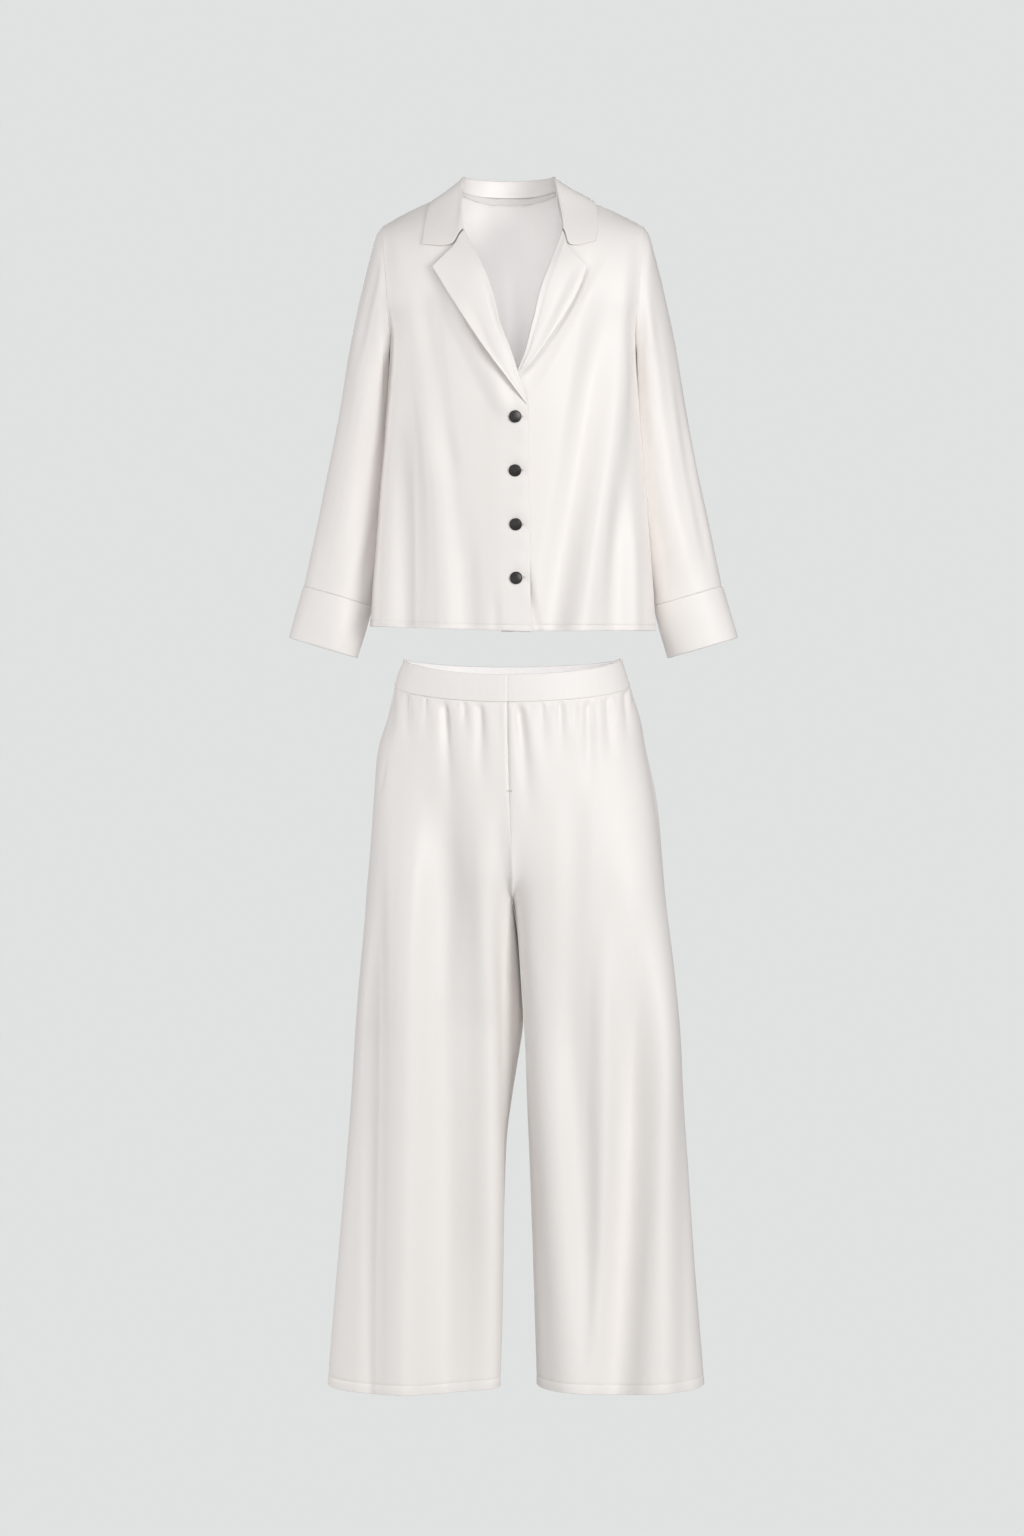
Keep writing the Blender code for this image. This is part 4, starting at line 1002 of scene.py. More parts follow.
# %% The lapels
Lapel = namedtuple("Lapel", "roll_z edge_x edge_z belly edge_lift")
LAPEL = {
    LEFT: (
        Lapel(-278, 18.5, -280, 0.2, 0.8),
        Lapel(-246, -9, -243, 1.6, 6.5),
        Lapel(-205, -37, -206, 2.4, 10.5),
        Lapel(-160, -65, -165, 2.6, 9.5),
        Lapel(-110, -92, -123, 2.4, 7.0),
        Lapel(-38, -113, -88, 1.5, 4.5),
    ),
    RIGHT: (
        Lapel(-240, 10, -242, 0.1, 0.6),
        Lapel(-214, 34, -212, 1.2, 5.0),
        Lapel(-178, 62, -171, 1.8, 8.0),
        Lapel(-140, 80, -143, 2.2, 8.0),
        Lapel(-95, 94, -115, 2.5, 6.5),
        Lapel(-40, 104, -88, 2.0, 5.0),
    ),
}
NOTCH = {LEFT: np.array([-85.0, 0.0, -61.0]), RIGHT: np.array([78.0, 0.0, -62.0])}
COLLAR_POINT = {LEFT: (-126, -58), RIGHT: (114, -53)}
ROLL = 1.9  # radius of the roll line's turn
TUCK = 7.0  # how far the facing reaches back inside
LAPEL_ROWS = 84
LAPEL_COLUMNS = 34
LAPEL_MM = 0.9
FORWARD = np.array([0.0, -1.0, 0.0])


def unit(vector):
    return vector / np.linalg.norm(vector)


def lapel_grid(side, front, surface):
    free = free_edge(front)
    places = steps(LAPEL_ROWS, (0.004, 0.01))
    rolls = np.array([at_height(free, z) for z in spaced(LAPEL[side], places).roll_z])
    ways = np.array([seen_from_front(surface, p[0] + side * 6, p[2])[1] for p in rolls])
    rolls, ways = smoothed(rolls, 12), smoothed(ways, 60)
    rows = []
    for t, roll, way in zip(places, rolls, ways / np.linalg.norm(ways, axis=1, keepdims=True)):
        place = spaced(LAPEL[side], t)
        spread = ease(t * 7 + 0.15)
        edge = np.array([place.edge_x, 0.0, place.edge_z])
        notch = NOTCH[side]
        bend = ease((t - 0.75) / 0.25)
        outward = unit((edge - roll) * [1, 0, 1])
        outward = unit(outward - way * (outward @ way))
        radius = ROLL * spread
        row = [roll + outward * TUCK * spread * k - way * 1.6 for k in (1.0, 0.55, 0.2)]
        for a in np.linspace(math.pi, 0, 8):
            row.append(roll - outward * radius * math.sin(a) + way * radius * (1 + math.cos(a)))
        for w in steps(LAPEL_COLUMNS, (0.99, 0.975), start=False)[1:]:
            flat = mix(roll, edge, w)
            knee = mix(roll, notch, w / 0.42) if w < 0.42 else mix(notch, edge, (w - 0.42) / 0.58)
            flat = mix(flat, knee, bend)
            spot, normal = seen_from_front(surface, flat[0], flat[2])
            belly = place.belly * math.sin(math.pi * min(1.0, w * 1.15)) ** 1.2
            lift = 2 * radius + 0.9 + belly + place.edge_lift * w ** 1.6
            normal = mix(way, mix(normal, FORWARD, ease(w * 3)), ease(w * 4))
            row.append(spot + unit(normal) * mix(2 * radius, lift, ease(w * 5)))
        rows.append(row)
    return facing(smoothed(np.array(rows), 8), (0, -1, 0))


for side, name in SIDES.items():
    cloth(f"lapel_{name}", lapel_grid(side, fronts[side], tree_of(fronts[side])), thickness=LAPEL_MM)


# %% [markdown]
# ## The collar
#
# The collar stands up from the neck seam, folds over and falls on the shoulders. It is made in
# rows along the neck seam, from the nape to the gorge, where it meets the lapel. Each row goes up
# the stand, over a round fold and down the fall to the collar's outer edge. A smooth curve
# through a handful of points gives the round fold.

# %% The collar
Collar = namedtuple("Collar", "at stand lean edge_out edge_y edge_z")
COLLAR = (
    Collar(0.0, 23, 2, 0, 98, -13),
    Collar(0.17, 23, 1, 42, 92, -12),
    Collar(0.33, 22, -1, 82, 64, -4),
    Collar(0.5, 21, -3, 110, 12, 12),
    Collar(0.68, 15, -2, 118, -18, -10),
    Collar(0.85, 8, -1, 120, -42, -36),
    Collar(1.0, 3, 0, 122, -55, -57),
)
COLLAR_LIFT = 2.6
COLLAR_ROWS = 74
COLLAR_COLUMNS = 44
COLLAR_MM = 1.0
UP = np.array([0.0, 0.0, 1.0])


def along_line(line, t):
    far = far_along(line)
    return read_line(line, far, t * far[-1])


def smooth_line(points, places):
    """A smooth curve through the points, read at places from 0 to 1 along it."""
    points = np.array(points)
    far = far_along(points, 0.7)
    far /= far[-1]
    slope = np.gradient(points, axis=0) / np.gradient(far)[:, None]
    slope[5:] *= 0.55  # past the fold the line is nearly straight from point to point
    k = np.clip(np.searchsorted(far, places) - 1, 0, len(far) - 2)
    step = (far[k + 1] - far[k])[:, None]
    t = (places - far[k])[:, None] / step
    a, b = points[k], points[k + 1]
    start, end = slope[k] * step, slope[k + 1] * step
    return a + t * (start + t * (3 * (b - a) - 2 * start - end + t * (start + end - 2 * (b - a))))


def over_body(surface, spot, lift):
    near, way, _, distance = surface.find_nearest(Vector(spot))
    height = (Vector(spot) - near).dot(way)
    inside = height < 0 and abs(abs(height) - distance) < 0.5
    return np.array(near + way * lift) if inside or distance < lift else spot


def collar_row(side, t, behind, before, surface):
    base = along_line(behind, t * 2) if t < 0.5 else along_line(before, t * 2 - 1)
    place = Collar(t, *(curve(COLLAR, t, name) for name in Collar._fields[1:]))
    around = unit(np.array([base[0] - middle_x(base[2]), (base[1] - NECK_Y) * 0.9, 0.0]))
    if t > 0.5:
        forward = unit(np.array([side * 0.25, -1.0, 0.0]))
        around = unit(mix(around, forward, ease((t - 0.5) * 2)))
    fold = base + around * place.lean + UP * place.stand
    over = fold + around * 2.2 + UP * 1.2
    edge = np.array([side * place.edge_out, place.edge_y, place.edge_z])
    if t > 0.6:
        corner = np.array([COLLAR_POINT[side][0], edge[1], COLLAR_POINT[side][1]])
        edge = mix(edge, corner, ease((t - 0.6) / 0.4))
    notch = NOTCH[side]
    row = [base + unit(fold - base) * 0.5, mix(base, fold, 0.5), mix(base, fold, 0.85)]
    row += [fold + around * 0.6 + UP * 0.9, over]
    shoulder = over + around * 5 - UP * place.stand * 0.3
    for w in (0.12, 0.3, 0.5, 0.75, 1.0):
        spot = mix(mix(over, shoulder, w), mix(shoulder, edge, w), w)
        if t > 0.7:
            knee = mix(over, notch, w / 0.35) if w < 0.35 else mix(notch, edge, (w - 0.35) / 0.65)
            bend = ease((t - 0.7) / 0.3)
            spot[0], spot[2] = mix(spot[0], knee[0], bend), mix(spot[2], knee[2], bend)
        if t > 0.6:
            seen_spot, way = seen_from_front(surface, spot[0], spot[2])
            on_front = seen_spot + way * (COLLAR_LIFT + 0.8 + 2.5 * (1 - w))
            spot = mix(spot, on_front, ease((t - 0.6) / 0.3))
        row.append(over_body(surface, spot, COLLAR_LIFT))
    return smooth_line(row, steps(COLLAR_COLUMNS, (0.006, 0.014)))


def collar_grid(surface):
    halves = []
    for side in SIDES:
        behind = back_neck(side, np.linspace(0, 1, 30))
        edge = free_edge(fronts[side])
        before = np.concatenate([edge[edge[:, 2] > GORGE_Z][::-1], [at_height(edge, GORGE_Z)]])
        places = steps(COLLAR_ROWS, (0.996, 0.988), start=False)
        halves.append(np.array([collar_row(side, t, behind, before, surface) for t in places]))
    grid = smoothed(np.concatenate([halves[0][::-1], halves[1][1:]]), 36)
    outwards = directions(grid)[len(grid) // 2, -8] @ [0, 1, 0] > 0
    return grid if outwards else grid[:, ::-1].copy()


cloth("collar", collar_grid(tree_of(fronts[LEFT], fronts[RIGHT], back)), thickness=COLLAR_MM)


# %% [markdown]
# ## Neck tape
#
# A narrow woven cotton tape covers the neck seam inside the back, as on many pyjama jackets. It
# is matt and greyer than the satin, with fine ribs across it.

# %% The neck tape
TAPE_WIDTH = 11.0
TAPE_BEHIND = CLOTH_MM + 1.5  # from the back's outer face to the tape's
TAPE_RIB_MM = 0.9
TAPE_MM = 0.9
TAPE_START = 0.6  # from the neck seam down to the tape
TAPE_WINDOW = 14  # rows of the back that it lies on


def cotton_tape(name, hex_colour="#eeebe8"):
    look, tree, shader, place = new_look(name)
    rib = node(tree, "ShaderNodeTexWave", {"Vector": place["UV"]}, wave_type="BANDS", bands_direction="X",
               Scale=1 / (TAPE_RIB_MM * MM) / 6.2832)
    tint(tree, shader, rib.outputs["Fac"], hex_colour, dark=0.9)
    bump = node(tree, "ShaderNodeBump", {"Height": rib.outputs["Fac"]}, Strength=0.5, Distance=0.2 * MM)
    tree.links.new(bump.outputs[0], shader.inputs["Normal"])
    set_sockets(shader, Roughness=0.85, Specular_IOR_Level=0.25)
    return look


grey_tape = cotton_tape("woven_cotton_tape")


def tape_grid(panel):
    """The tape follows the neck seam on the inside of the back."""
    middle = panel.shape[1] // 2
    window = panel[-TAPE_WINDOW:, middle - NECK_COLUMNS:middle + NECK_COLUMNS + 1]
    inward = -directions(window)
    rows = []
    for down in np.linspace(TAPE_START, TAPE_START + TAPE_WIDTH, 8):
        row = []
        for c in range(window.shape[1]):
            line = window[::-1, c]
            row.append(read_line(line, far_along(line), down) + inward[-3, c] * TAPE_BEHIND)
        rows.append(row)
    return facing(np.array(rows), (0, -1, 0))


tape = tape_grid(back)
cloth("neck_tape", tape, grey_tape, "cotton", thickness=TAPE_MM)


# %% [markdown]
# ## The trousers' sizes
#
# Each half of the trousers is one front and one back, joined at the side seam, the inside leg and
# the middle seam. Seen from above, the hips are an ellipse with fuller corners, and below the
# crotch each leg is a tube of its own. The middle seam curves under between them, which is what makes
# trousers of two tubes of cloth.

# %% The trousers' tables
TROUSER_SIDE_Y = 5.0
CROTCH_Z = -975.0
CROTCH_RISE = 105.0
LEG_FOOT_Z = -1649.0
HEM_DROP = 14.0

Hip = namedtuple("Hip", "z middle_x left right front back square")
HIP = (
    Hip(-630, -8, 149, 149, 84, 88, 2.0),
    Hip(-673, -8, 165, 163, 89, 97, 2.0),
    Hip(-722, -8, 176, 179, 92, 107, 2.1),
    Hip(-765, -7, 188, 187, 93, 113, 2.2),
    Hip(-835, -5, 195, 202, 93, 113, 2.5),
    Hip(-905, -2, 200, 208, 92, 108, 2.6),
    Hip(-975, -1, 206, 213, 90, 100, 2.6),
)
Leg = namedtuple("Leg", "z inner outer front back square cleft")
LEG = {
    LEFT: (
        Leg(-975, 1, 206, 90, 100, 2.6, 4.0),
        Leg(-1015, -6, 209, 88, 95, 2.5, 3.4),
        Leg(-1100, -12, 217, 84, 87, 2.4, 2.9),
        Leg(-1140, -14, 220, 81, 83, 2.4, 2.6),
        Leg(-1169, -11, 222, 79, 80, 2.3, 2.5),
        Leg(-1239, 0, 226, 74, 75, 2.3, 2.4),
        Leg(-1309, 9, 231, 70, 71, 2.2, 2.3),
        Leg(-1435, 14, 241, 66, 67, 2.2, 2.2),
        Leg(-1603, 25, 255, 64, 64, 2.1, 2.1),
        Leg(-1660, 28, 259, 64, 64, 2.1, 2.1),
    ),
    RIGHT: (
        Leg(-975, -1, 213, 90, 100, 2.6, 4.0),
        Leg(-1015, 7, 217, 88, 95, 2.5, 3.4),
        Leg(-1100, 13, 225, 84, 87, 2.4, 2.9),
        Leg(-1169, 17, 233, 79, 80, 2.3, 2.5),
        Leg(-1253, 20, 238, 74, 75, 2.3, 2.4),
        Leg(-1351, 24, 245, 69, 70, 2.2, 2.3),
        Leg(-1477, 28, 254, 65, 65, 2.1, 2.2),
        Leg(-1603, 32, 264, 64, 64, 2.1, 2.1),
        Leg(-1660, 34, 268, 64, 64, 2.1, 2.1),
    ),
}
Band = namedtuple("Band", "middle_top side_top middle_seam side_seam")
BAND = {FRONT: Band(-657, -634, -696, -673), BACK: Band(-646, -634, -684, -673)}


# %% The trousers' lines
def hip_sizes(side, face, z):
    middle = curve(HIP, z, "middle_x")
    reach = curve(HIP, z, SIDES[side]) - side * middle
    depth = curve(HIP, z, FACES[face]) - face * TROUSER_SIDE_Y
    return middle, reach, depth


def fullness(out, square):
    return np.maximum(0.0, 1 - np.clip(out, 0, 1) ** square) ** (1 / square)


def section_depth(turn, square, cleft):
    across = np.cos(turn)
    return np.where(across > 0, fullness(across, cleft), fullness(-across, square))


def hip_row(side, face, turn, z):
    middle, reach, depth = hip_sizes(side, face, z)
    out = np.sin(turn)
    y = TROUSER_SIDE_Y + face * depth * fullness(out, curve(HIP, z, "square"))
    return point(middle + side * reach * out, y, z)


def dip(turn):
    """How much of the middle's drop a place has: 1 in the middle and 0 at the side."""
    return np.maximum(0.0, np.cos(turn)) ** 1.2


def band_line(face, top, turn):
    band = BAND[face]
    middle, side = (band.middle_top, band.side_top) if top else (band.middle_seam, band.side_seam)
    return mix(side, middle, dip(turn))


LEG_ACROSS = steps(86, (0.003, 0.007))
LEG_ROWS = (0.0015, 0.003, 0.0165, 0.0185, 0.02, 0.0215, 0.0235)
BEHIND = 13.0  # how far the left leg's back spreads behind the right leg, so no light shows between
HIP_SIDES = (-673, -680, -702, -732, -780, -828, -870)
HIP_MIDDLES = {
    FRONT: (-696, -703, -722, -745, -785, -830, -870),
    BACK: (-684, -691, -712, -740, -785, -830, -870),
}


def hips(side, face):
    turn = LEG_ACROSS * math.pi / 2
    rows = []
    for t in steps(50, (0.003, 0.007, 0.012), end=False):
        k = t * (len(HIP_SIDES) - 1)
        at = np.arange(len(HIP_SIDES))
        z = mix(np.interp(k, at, HIP_SIDES), np.interp(k, at, HIP_MIDDLES[face]), dip(turn))
        rows.append(hip_row(side, face, turn, z))
    return rows


def crotch(side, face):
    """A row grows here from a quarter of the hips into half of a leg."""
    rows = []
    for t in np.linspace(0, 1, 30)[1:]:
        start = math.pi / 2 * (1 - t)
        z_in = CROTCH_Z + CROTCH_RISE * (1 - math.cos(start))
        z = mix(z_in, mix(HIP_SIDES[-1], CROTCH_Z - 20, t), ease(3 * LEG_ACROSS))
        turn = mix(start, math.pi, LEG_ACROSS)
        middle, reach, depth = hip_sizes(side, face, z)
        radius = reach / (1 + math.cos(start))
        out = radius * (math.cos(start) - np.cos(turn)) + 0.3 * math.cos(start)
        deep = section_depth(turn, curve(HIP, z, "square"), 3.4 + 0.6 * math.cos(start))
        rows.append(point(middle + side * out, TROUSER_SIDE_Y + face * depth * deep, z))
    return rows


def leg(side, face):
    turn = LEG_ACROSS * math.pi
    start_z = mix(CROTCH_Z, CROTCH_Z - 20, ease(3 * turn / math.pi))
    table, rows = LEG[side], []
    for t in steps(122, LEG_ROWS, start=False)[1:]:
        z = mix(start_z, LEG_FOOT_Z, t)
        inner, outer = curve(table, z, "inner"), curve(table, z, "outer")
        depth = curve(table, z, FACES[face]) - face * TROUSER_SIDE_Y
        out = (inner + outer) / 2 - (outer - inner) / 2 * np.cos(turn)
        cleft = curve(table, z, "cleft")
        if (side, face) == (RIGHT, FRONT):
            cleft = cleft + 2.0 * below(z, -975, 40)
        if (side, face) == (LEFT, FRONT):
            cleft = cleft - 1.3 * below(z, -975, 60) * above(z, -1430, 360)
        deep = section_depth(turn, curve(table, z, "square"), cleft)
        if (side, face) == (LEFT, BACK):
            spread = bell(deep - 0.85, 0.28) * (turn < 1.6)
            out = out - BEHIND * spread * below(z, -985, 60) * above(z, -1290, 230)
        drop = HEM_DROP * (1.0 if face == FRONT else 0.3) * np.sin(turn) * below(z, -1500, 146)
        rows.append(point(side * out, TROUSER_SIDE_Y + face * depth * deep, z - drop))
    return rows


# %% [markdown]
# The gathers start at the waistband's seam, where the cloth is drawn in by elastic, and die away
# 60 to 210 mm below it. Under them, long folds fall from the hips to the hems. Each is placed by
# its distance from the middle, as seen from the front.

# %% The trousers' folds
Gather = namedtuple("Gather", "x foot_x width depth foot")
GATHERS = {
    FRONT: (
        Gather(-168, -172, 6, -2.5, -760),
        Gather(-146, -148, 8, -4.5, -790),
        Gather(-120, -122, 6, -2.5, -760),
        Gather(-95, -84, 13, -7.5, -900),
        Gather(-68, -66, 6, -2.5, -755),
        Gather(-46, -42, 10, -5.0, -850),
        Gather(8, 26, 11, -7.5, -890),
        Gather(40, 44, 6, -3.0, -765),
        Gather(66, 68, 7, -4.5, -780),
        Gather(86, 88, 6, -2.5, -750),
        Gather(105, 108, 10, -5.0, -850),
        Gather(132, 138, 8, -4.0, -800),
        Gather(156, 163, 6, -2.5, -770),
    ),
    BACK: (
        Gather(-146, -152, 8, -4.5, -780),
        Gather(-122, -130, 9, -5.5, -820),
        Gather(-98, -102, 7, -4.0, -780),
        Gather(-72, -76, 11, -7.0, -880),
        Gather(-48, -48, 7, -4.0, -780),
        Gather(-24, -22, 9, -5.5, -820),
        Gather(12, 14, 9, -5.5, -820),
        Gather(34, 36, 7, -4.0, -770),
        Gather(58, 62, 11, -7.0, -880),
        Gather(84, 90, 7, -4.0, -780),
        Gather(110, 116, 9, -5.5, -820),
        Gather(136, 144, 9, -4.5, -800),
    ),
}
LEG_FOLDS = {
    (FRONT, LEFT): (
        Fold(-760, -2300, -146, -157, -150, 42, 16.0),
        Fold(-640, -2400, -96, -88, -84, 54, -24.0),
        Fold(-760, -2400, -42, -33, -34, 28, 12.0),
        Fold(-800, -2300, -186, -196, -204, 24, -7.0),
        Fold(-715, -830, -170, -177, -188, 5, -2.0),
    ),
    (FRONT, RIGHT): (
        Fold(-1020, -2200, 46, 78, 140, 38, 10.0),
        Fold(-700, -1700, 92, 88, 130, 32, -4.0),
        Fold(-960, -1750, 126, 125, 118, 24, 6.0),
        Fold(-960, -2300, 170, 146, 60, 44, -21.0),
        Fold(-900, -2300, 206, 204, 190, 40, 15.0),
    ),
    (BACK, LEFT): (
        Fold(-780, -2400, -60, -62, -70, 40, -14.0, 0.1),
        Fold(-720, -2400, -112, -118, -130, 38, 11.0),
        Fold(-760, -2400, -164, -180, -200, 36, -12.0),
    ),
    (BACK, RIGHT): (
        Fold(-760, -2400, 62, 66, 80, 42, -14.0, 0.1),
        Fold(-720, -2400, 120, 126, 140, 38, 11.0),
        Fold(-780, -2400, 174, 188, 212, 34, -11.0),
    ),
}
FLY_FOOT = -824.0
FLY_DEPTH = 1.2
FLY_REACH = 1.7
SEAM_DEPTH = 0.5
SEAM_REACH = 1.8


def gather_height(face, grid, seam_z):
    x, z = grid[..., 0], grid[..., 2]
    total = np.zeros(x.shape)
    for gather in GATHERS[face]:
        t = (seam_z - z) / (seam_z - gather.foot)
        path = mix(gather.x, gather.foot_x, np.clip(t, 0, 1))
        wide = gather.width * (0.7 + 1.2 * np.clip(t, 0, 1))
        away = (x - path) / wide
        bell = np.exp(-2.2 * away ** 2) - 0.35 * np.exp(-1.2 * (np.abs(away) - 1.2) ** 2)
        total += gather.depth * bell * ease(t * 12) * (1 - ease(t))
    pucker = np.sin(x * 0.74) * 0.5 + np.sin(x * 0.43 + 1.1) * 0.5
    return total + 0.55 * pucker * below(z, seam_z, 5) * ease(1 - (seam_z - z) / 45)


def seam_tuck(grid):
    """How far the cloth dips along its two side edges, which are sewn to other panels."""
    along = lengths(grid, 1)
    return -SEAM_DEPTH * (bell(along, SEAM_REACH) + bell(along[:, [-1]] - along, SEAM_REACH))


def trouser_grid(side, face):
    grid = np.array(hips(side, face) + crotch(side, face) + leg(side, face))
    grid = relaxed(grid, (-870, -1000), 75, hold=8)
    grid = facing(grid, (0, face, 0))
    x, z = grid[..., 0], grid[..., 2]
    share = np.linspace(0, 1, grid.shape[1])[None, :]
    edge = ease(12 * share) * ease(12 * (1 - share))
    seam_z = z[[0]]
    height = fold_height(LEG_FOLDS[face, side], x, z) * below(z, seam_z - 60, 120)
    height = (height + ripple(grid, 11 + 2 * side + face, 1.7, 120.0) * below(z, seam_z - 20, 60)) * edge
    height += gather_height(face, grid, seam_z) * ease(20 * share) * ease(20 * (1 - share))
    height += seam_tuck(grid)
    height += hem_relief(grid, from_last(grid), LEG_HEM)
    if face == FRONT:
        seam = bell(x - curve(HIP, z, "middle_x"), FLY_REACH)
        height -= FLY_DEPTH * seam * above(z, FLY_FOOT, 14)
    return pushed(grid, height)


trousers = {(face, side): trouser_grid(side, face) for face in FACES for side in SIDES}
for (face, side), grid in trousers.items():
    hemmed = turned_under(grid, directions(grid), LEG_HEM + 1, last=True)[0]
    cloth(f"trouser_{FACES[face]}_{SIDES[side]}", hemmed)


# %% [markdown]
# ## Waistband
#
# The waistband is a doubled band of satin with elastic inside. It stands proud of the trousers,
# is folded over at the top and goes down again inside. The elastic draws it into fine upright
# ripples, stronger at the back than at the front.

# %% The waistband
BAND_PROUD = 1.5
BAND_EDGE = 1.3
BAND_RIPPLE = {FRONT: 0.10, BACK: 0.45}


def waistband_grid(face):
    turn = steps(132, (0.002, 0.005)) * math.pi / 2
    places = [(0.0, 0.2), (0.01, 0.7 * BAND_PROUD), (0.03, BAND_PROUD), (0.07, BAND_PROUD)]
    places += [(t, BAND_PROUD) for t in np.linspace(0.12, 0.94, 12)]
    arc = np.linspace(0, math.pi, 8)
    places += [(0.965 + 0.035 * math.sin(a), BAND_PROUD - BAND_EDGE * (1 - math.cos(a))) for a in arc]
    places += [(t, BAND_PROUD - 2 * BAND_EDGE) for t in np.linspace(0.92, 0.05, 10)]
    rows = []
    for t, out in places:
        halves = []
        for side in SIDES:
            z = mix(band_line(face, False, turn), band_line(face, True, turn), t)
            halves.append(hip_row(side, face, turn, z))
        row = np.concatenate([halves[0][::-1], halves[1][1:]])
        across = np.gradient(row, axis=0)
        way = np.stack([across[:, 1], -across[:, 0], np.zeros(len(row))], axis=1)
        way /= np.linalg.norm(way, axis=1, keepdims=True)
        if way[len(way) // 2, 1] * face < 0:
            way = -way
        x = row[:, 0]
        wave = np.sin(x * 0.55) + 0.7 * np.sin(x * 0.31 + 1.3) + 0.4 * np.sin(x * 0.9 + 0.4)
        wave = wave * BAND_RIPPLE[face]
        seam = 0.6 * bell(x + 8, 1.4) * (face == FRONT)
        rows.append(row + way * (out - seam + wave * ease(4 * t) * ease(1.2 - t))[:, None])
    grid = np.array(rows)
    outwards = directions(grid)[8, len(turn)] @ [0, face, 0] > 0
    return grid if outwards else grid[:, ::-1].copy()


for face, name in FACES.items():
    cloth(f"waistband_{name}", waistband_grid(face))


# %% [markdown]
# ## Buttons
#
# The buttons are turned from dark resin: a flat back, a rounded rim and a gentle dome with a
# faint ridge near the rim. A profile is drawn once and spun by a Screw modifier. They are sewn
# through from behind, so no holes show.

# %% The buttons
BUTTON_RADIUS = 8.8
BUTTON_HEIGHT = 4.2
BUTTON_PROFILE = (
    (0.00, 1.00), (0.20, 0.995), (0.40, 0.97), (0.58, 0.92), (0.72, 0.86), (0.78, 0.835), (0.82, 0.835),
    (0.87, 0.82), (0.93, 0.73), (0.975, 0.60), (1.00, 0.44), (0.985, 0.24), (0.94, 0.08), (0.88, 0.0),
    (0.0, 0.0),
)


def resin(name, hex_colour="#242120"):
    """Cast resin, buffed: an even dark colour with a clear, slightly soft shine."""
    look, tree, shader, place = new_look(name)
    cloud = node(tree, "ShaderNodeTexNoise", {"Vector": place["Object"]}, Scale=1 / (6 * MM), Detail=3.0)
    tint(tree, shader, cloud.outputs["Fac"], hex_colour, dark=0.8, light=1.35)
    buffed = node(tree, "ShaderNodeMapRange", {"Value": cloud.outputs["Fac"]}, To_Min=0.30, To_Max=0.42)
    tree.links.new(buffed.outputs[0], shader.inputs["Roughness"])
    set_sockets(shader, IOR=1.52)
    return look


charcoal_resin = resin("charcoal_cast_resin")
upper_front = tree_of(fronts[LEFT])


def settled(piece):
    """Makes what the modifiers give into the piece's own mesh."""
    result = bpy.data.meshes.new_from_object(piece.evaluated_get(bpy.context.evaluated_depsgraph_get()))
    piece.modifiers.clear()
    piece.data = result
    return result


def button(node_name):
    low, high = (np.array(v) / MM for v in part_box(node_name))
    spot, way = seen_from_front(upper_front, (low[0] + high[0]) / 2, (low[2] + high[2]) / 2)
    profile = bmesh.new()
    points = [profile.verts.new((r * BUTTON_RADIUS * MM, 0, h * BUTTON_HEIGHT * MM))
              for r, h in BUTTON_PROFILE]
    for a, b in zip(points, points[1:]):
        profile.edges.new((a, b))
    mesh = bpy.data.meshes.new(node_name + "_turned")
    profile.to_mesh(mesh)
    profile.free()
    piece = added(node_name + "_resin", mesh)
    turn = piece.modifiers.new("turn", "SCREW")
    turn.steps = turn.render_steps = 48
    turn.use_merge_vertices = True
    turn.merge_threshold = 0.00001
    solid = settled(piece)
    turned = Vector(way).to_track_quat("Z", "Y").to_matrix()
    for v in solid.vertices:
        v.co = turned @ v.co + Vector((spot + way * 0.3) * MM)
    finish = bmesh.new()
    finish.from_mesh(solid)
    bmesh.ops.recalc_face_normals(finish, faces=finish.faces)
    finish.to_mesh(solid)
    finish.free()
    solid.materials.clear()
    solid.materials.append(charcoal_resin)
    solid.shade_smooth()
    return piece


buttons = {name: button(name) for name in ("button_1", "button_2", "button_3", "button_4")}
print("buttons:", list(buttons))


# %% [markdown]
# ## Sewing
#
# A line of machine stitches is one small shape repeated along a path, so Geometry Nodes make it.
# The tree takes a path of edges, puts a point at every stitch, and lays a tiny long bead of
# thread there: along the path for a seam, or across it for the close bars round a buttonhole.
# The seed is fixed, so the slight unevenness is the same each time.

# %% The thread
def thread(name, hex_colour="#eae4de"):
    """Spun polyester thread: matter than satin, with a fine twist."""
    look, tree, shader, place = new_look(name)
    twist = node(tree, "ShaderNodeTexNoise", {"Vector": place["Object"]}, Scale=1 / (0.3 * MM), Detail=1.0)
    tint(tree, shader, twist.outputs["Fac"], hex_colour, dark=0.86)
    set_sockets(shader, Roughness=0.6)
    return look


ivory_thread = thread("spun_polyester_thread")


# %% The stitch tree
STITCH_SIZES = {"Pitch": 2.8 * MM, "Length": 2.3 * MM, "Width": 0.42 * MM, "Across": 0.0}


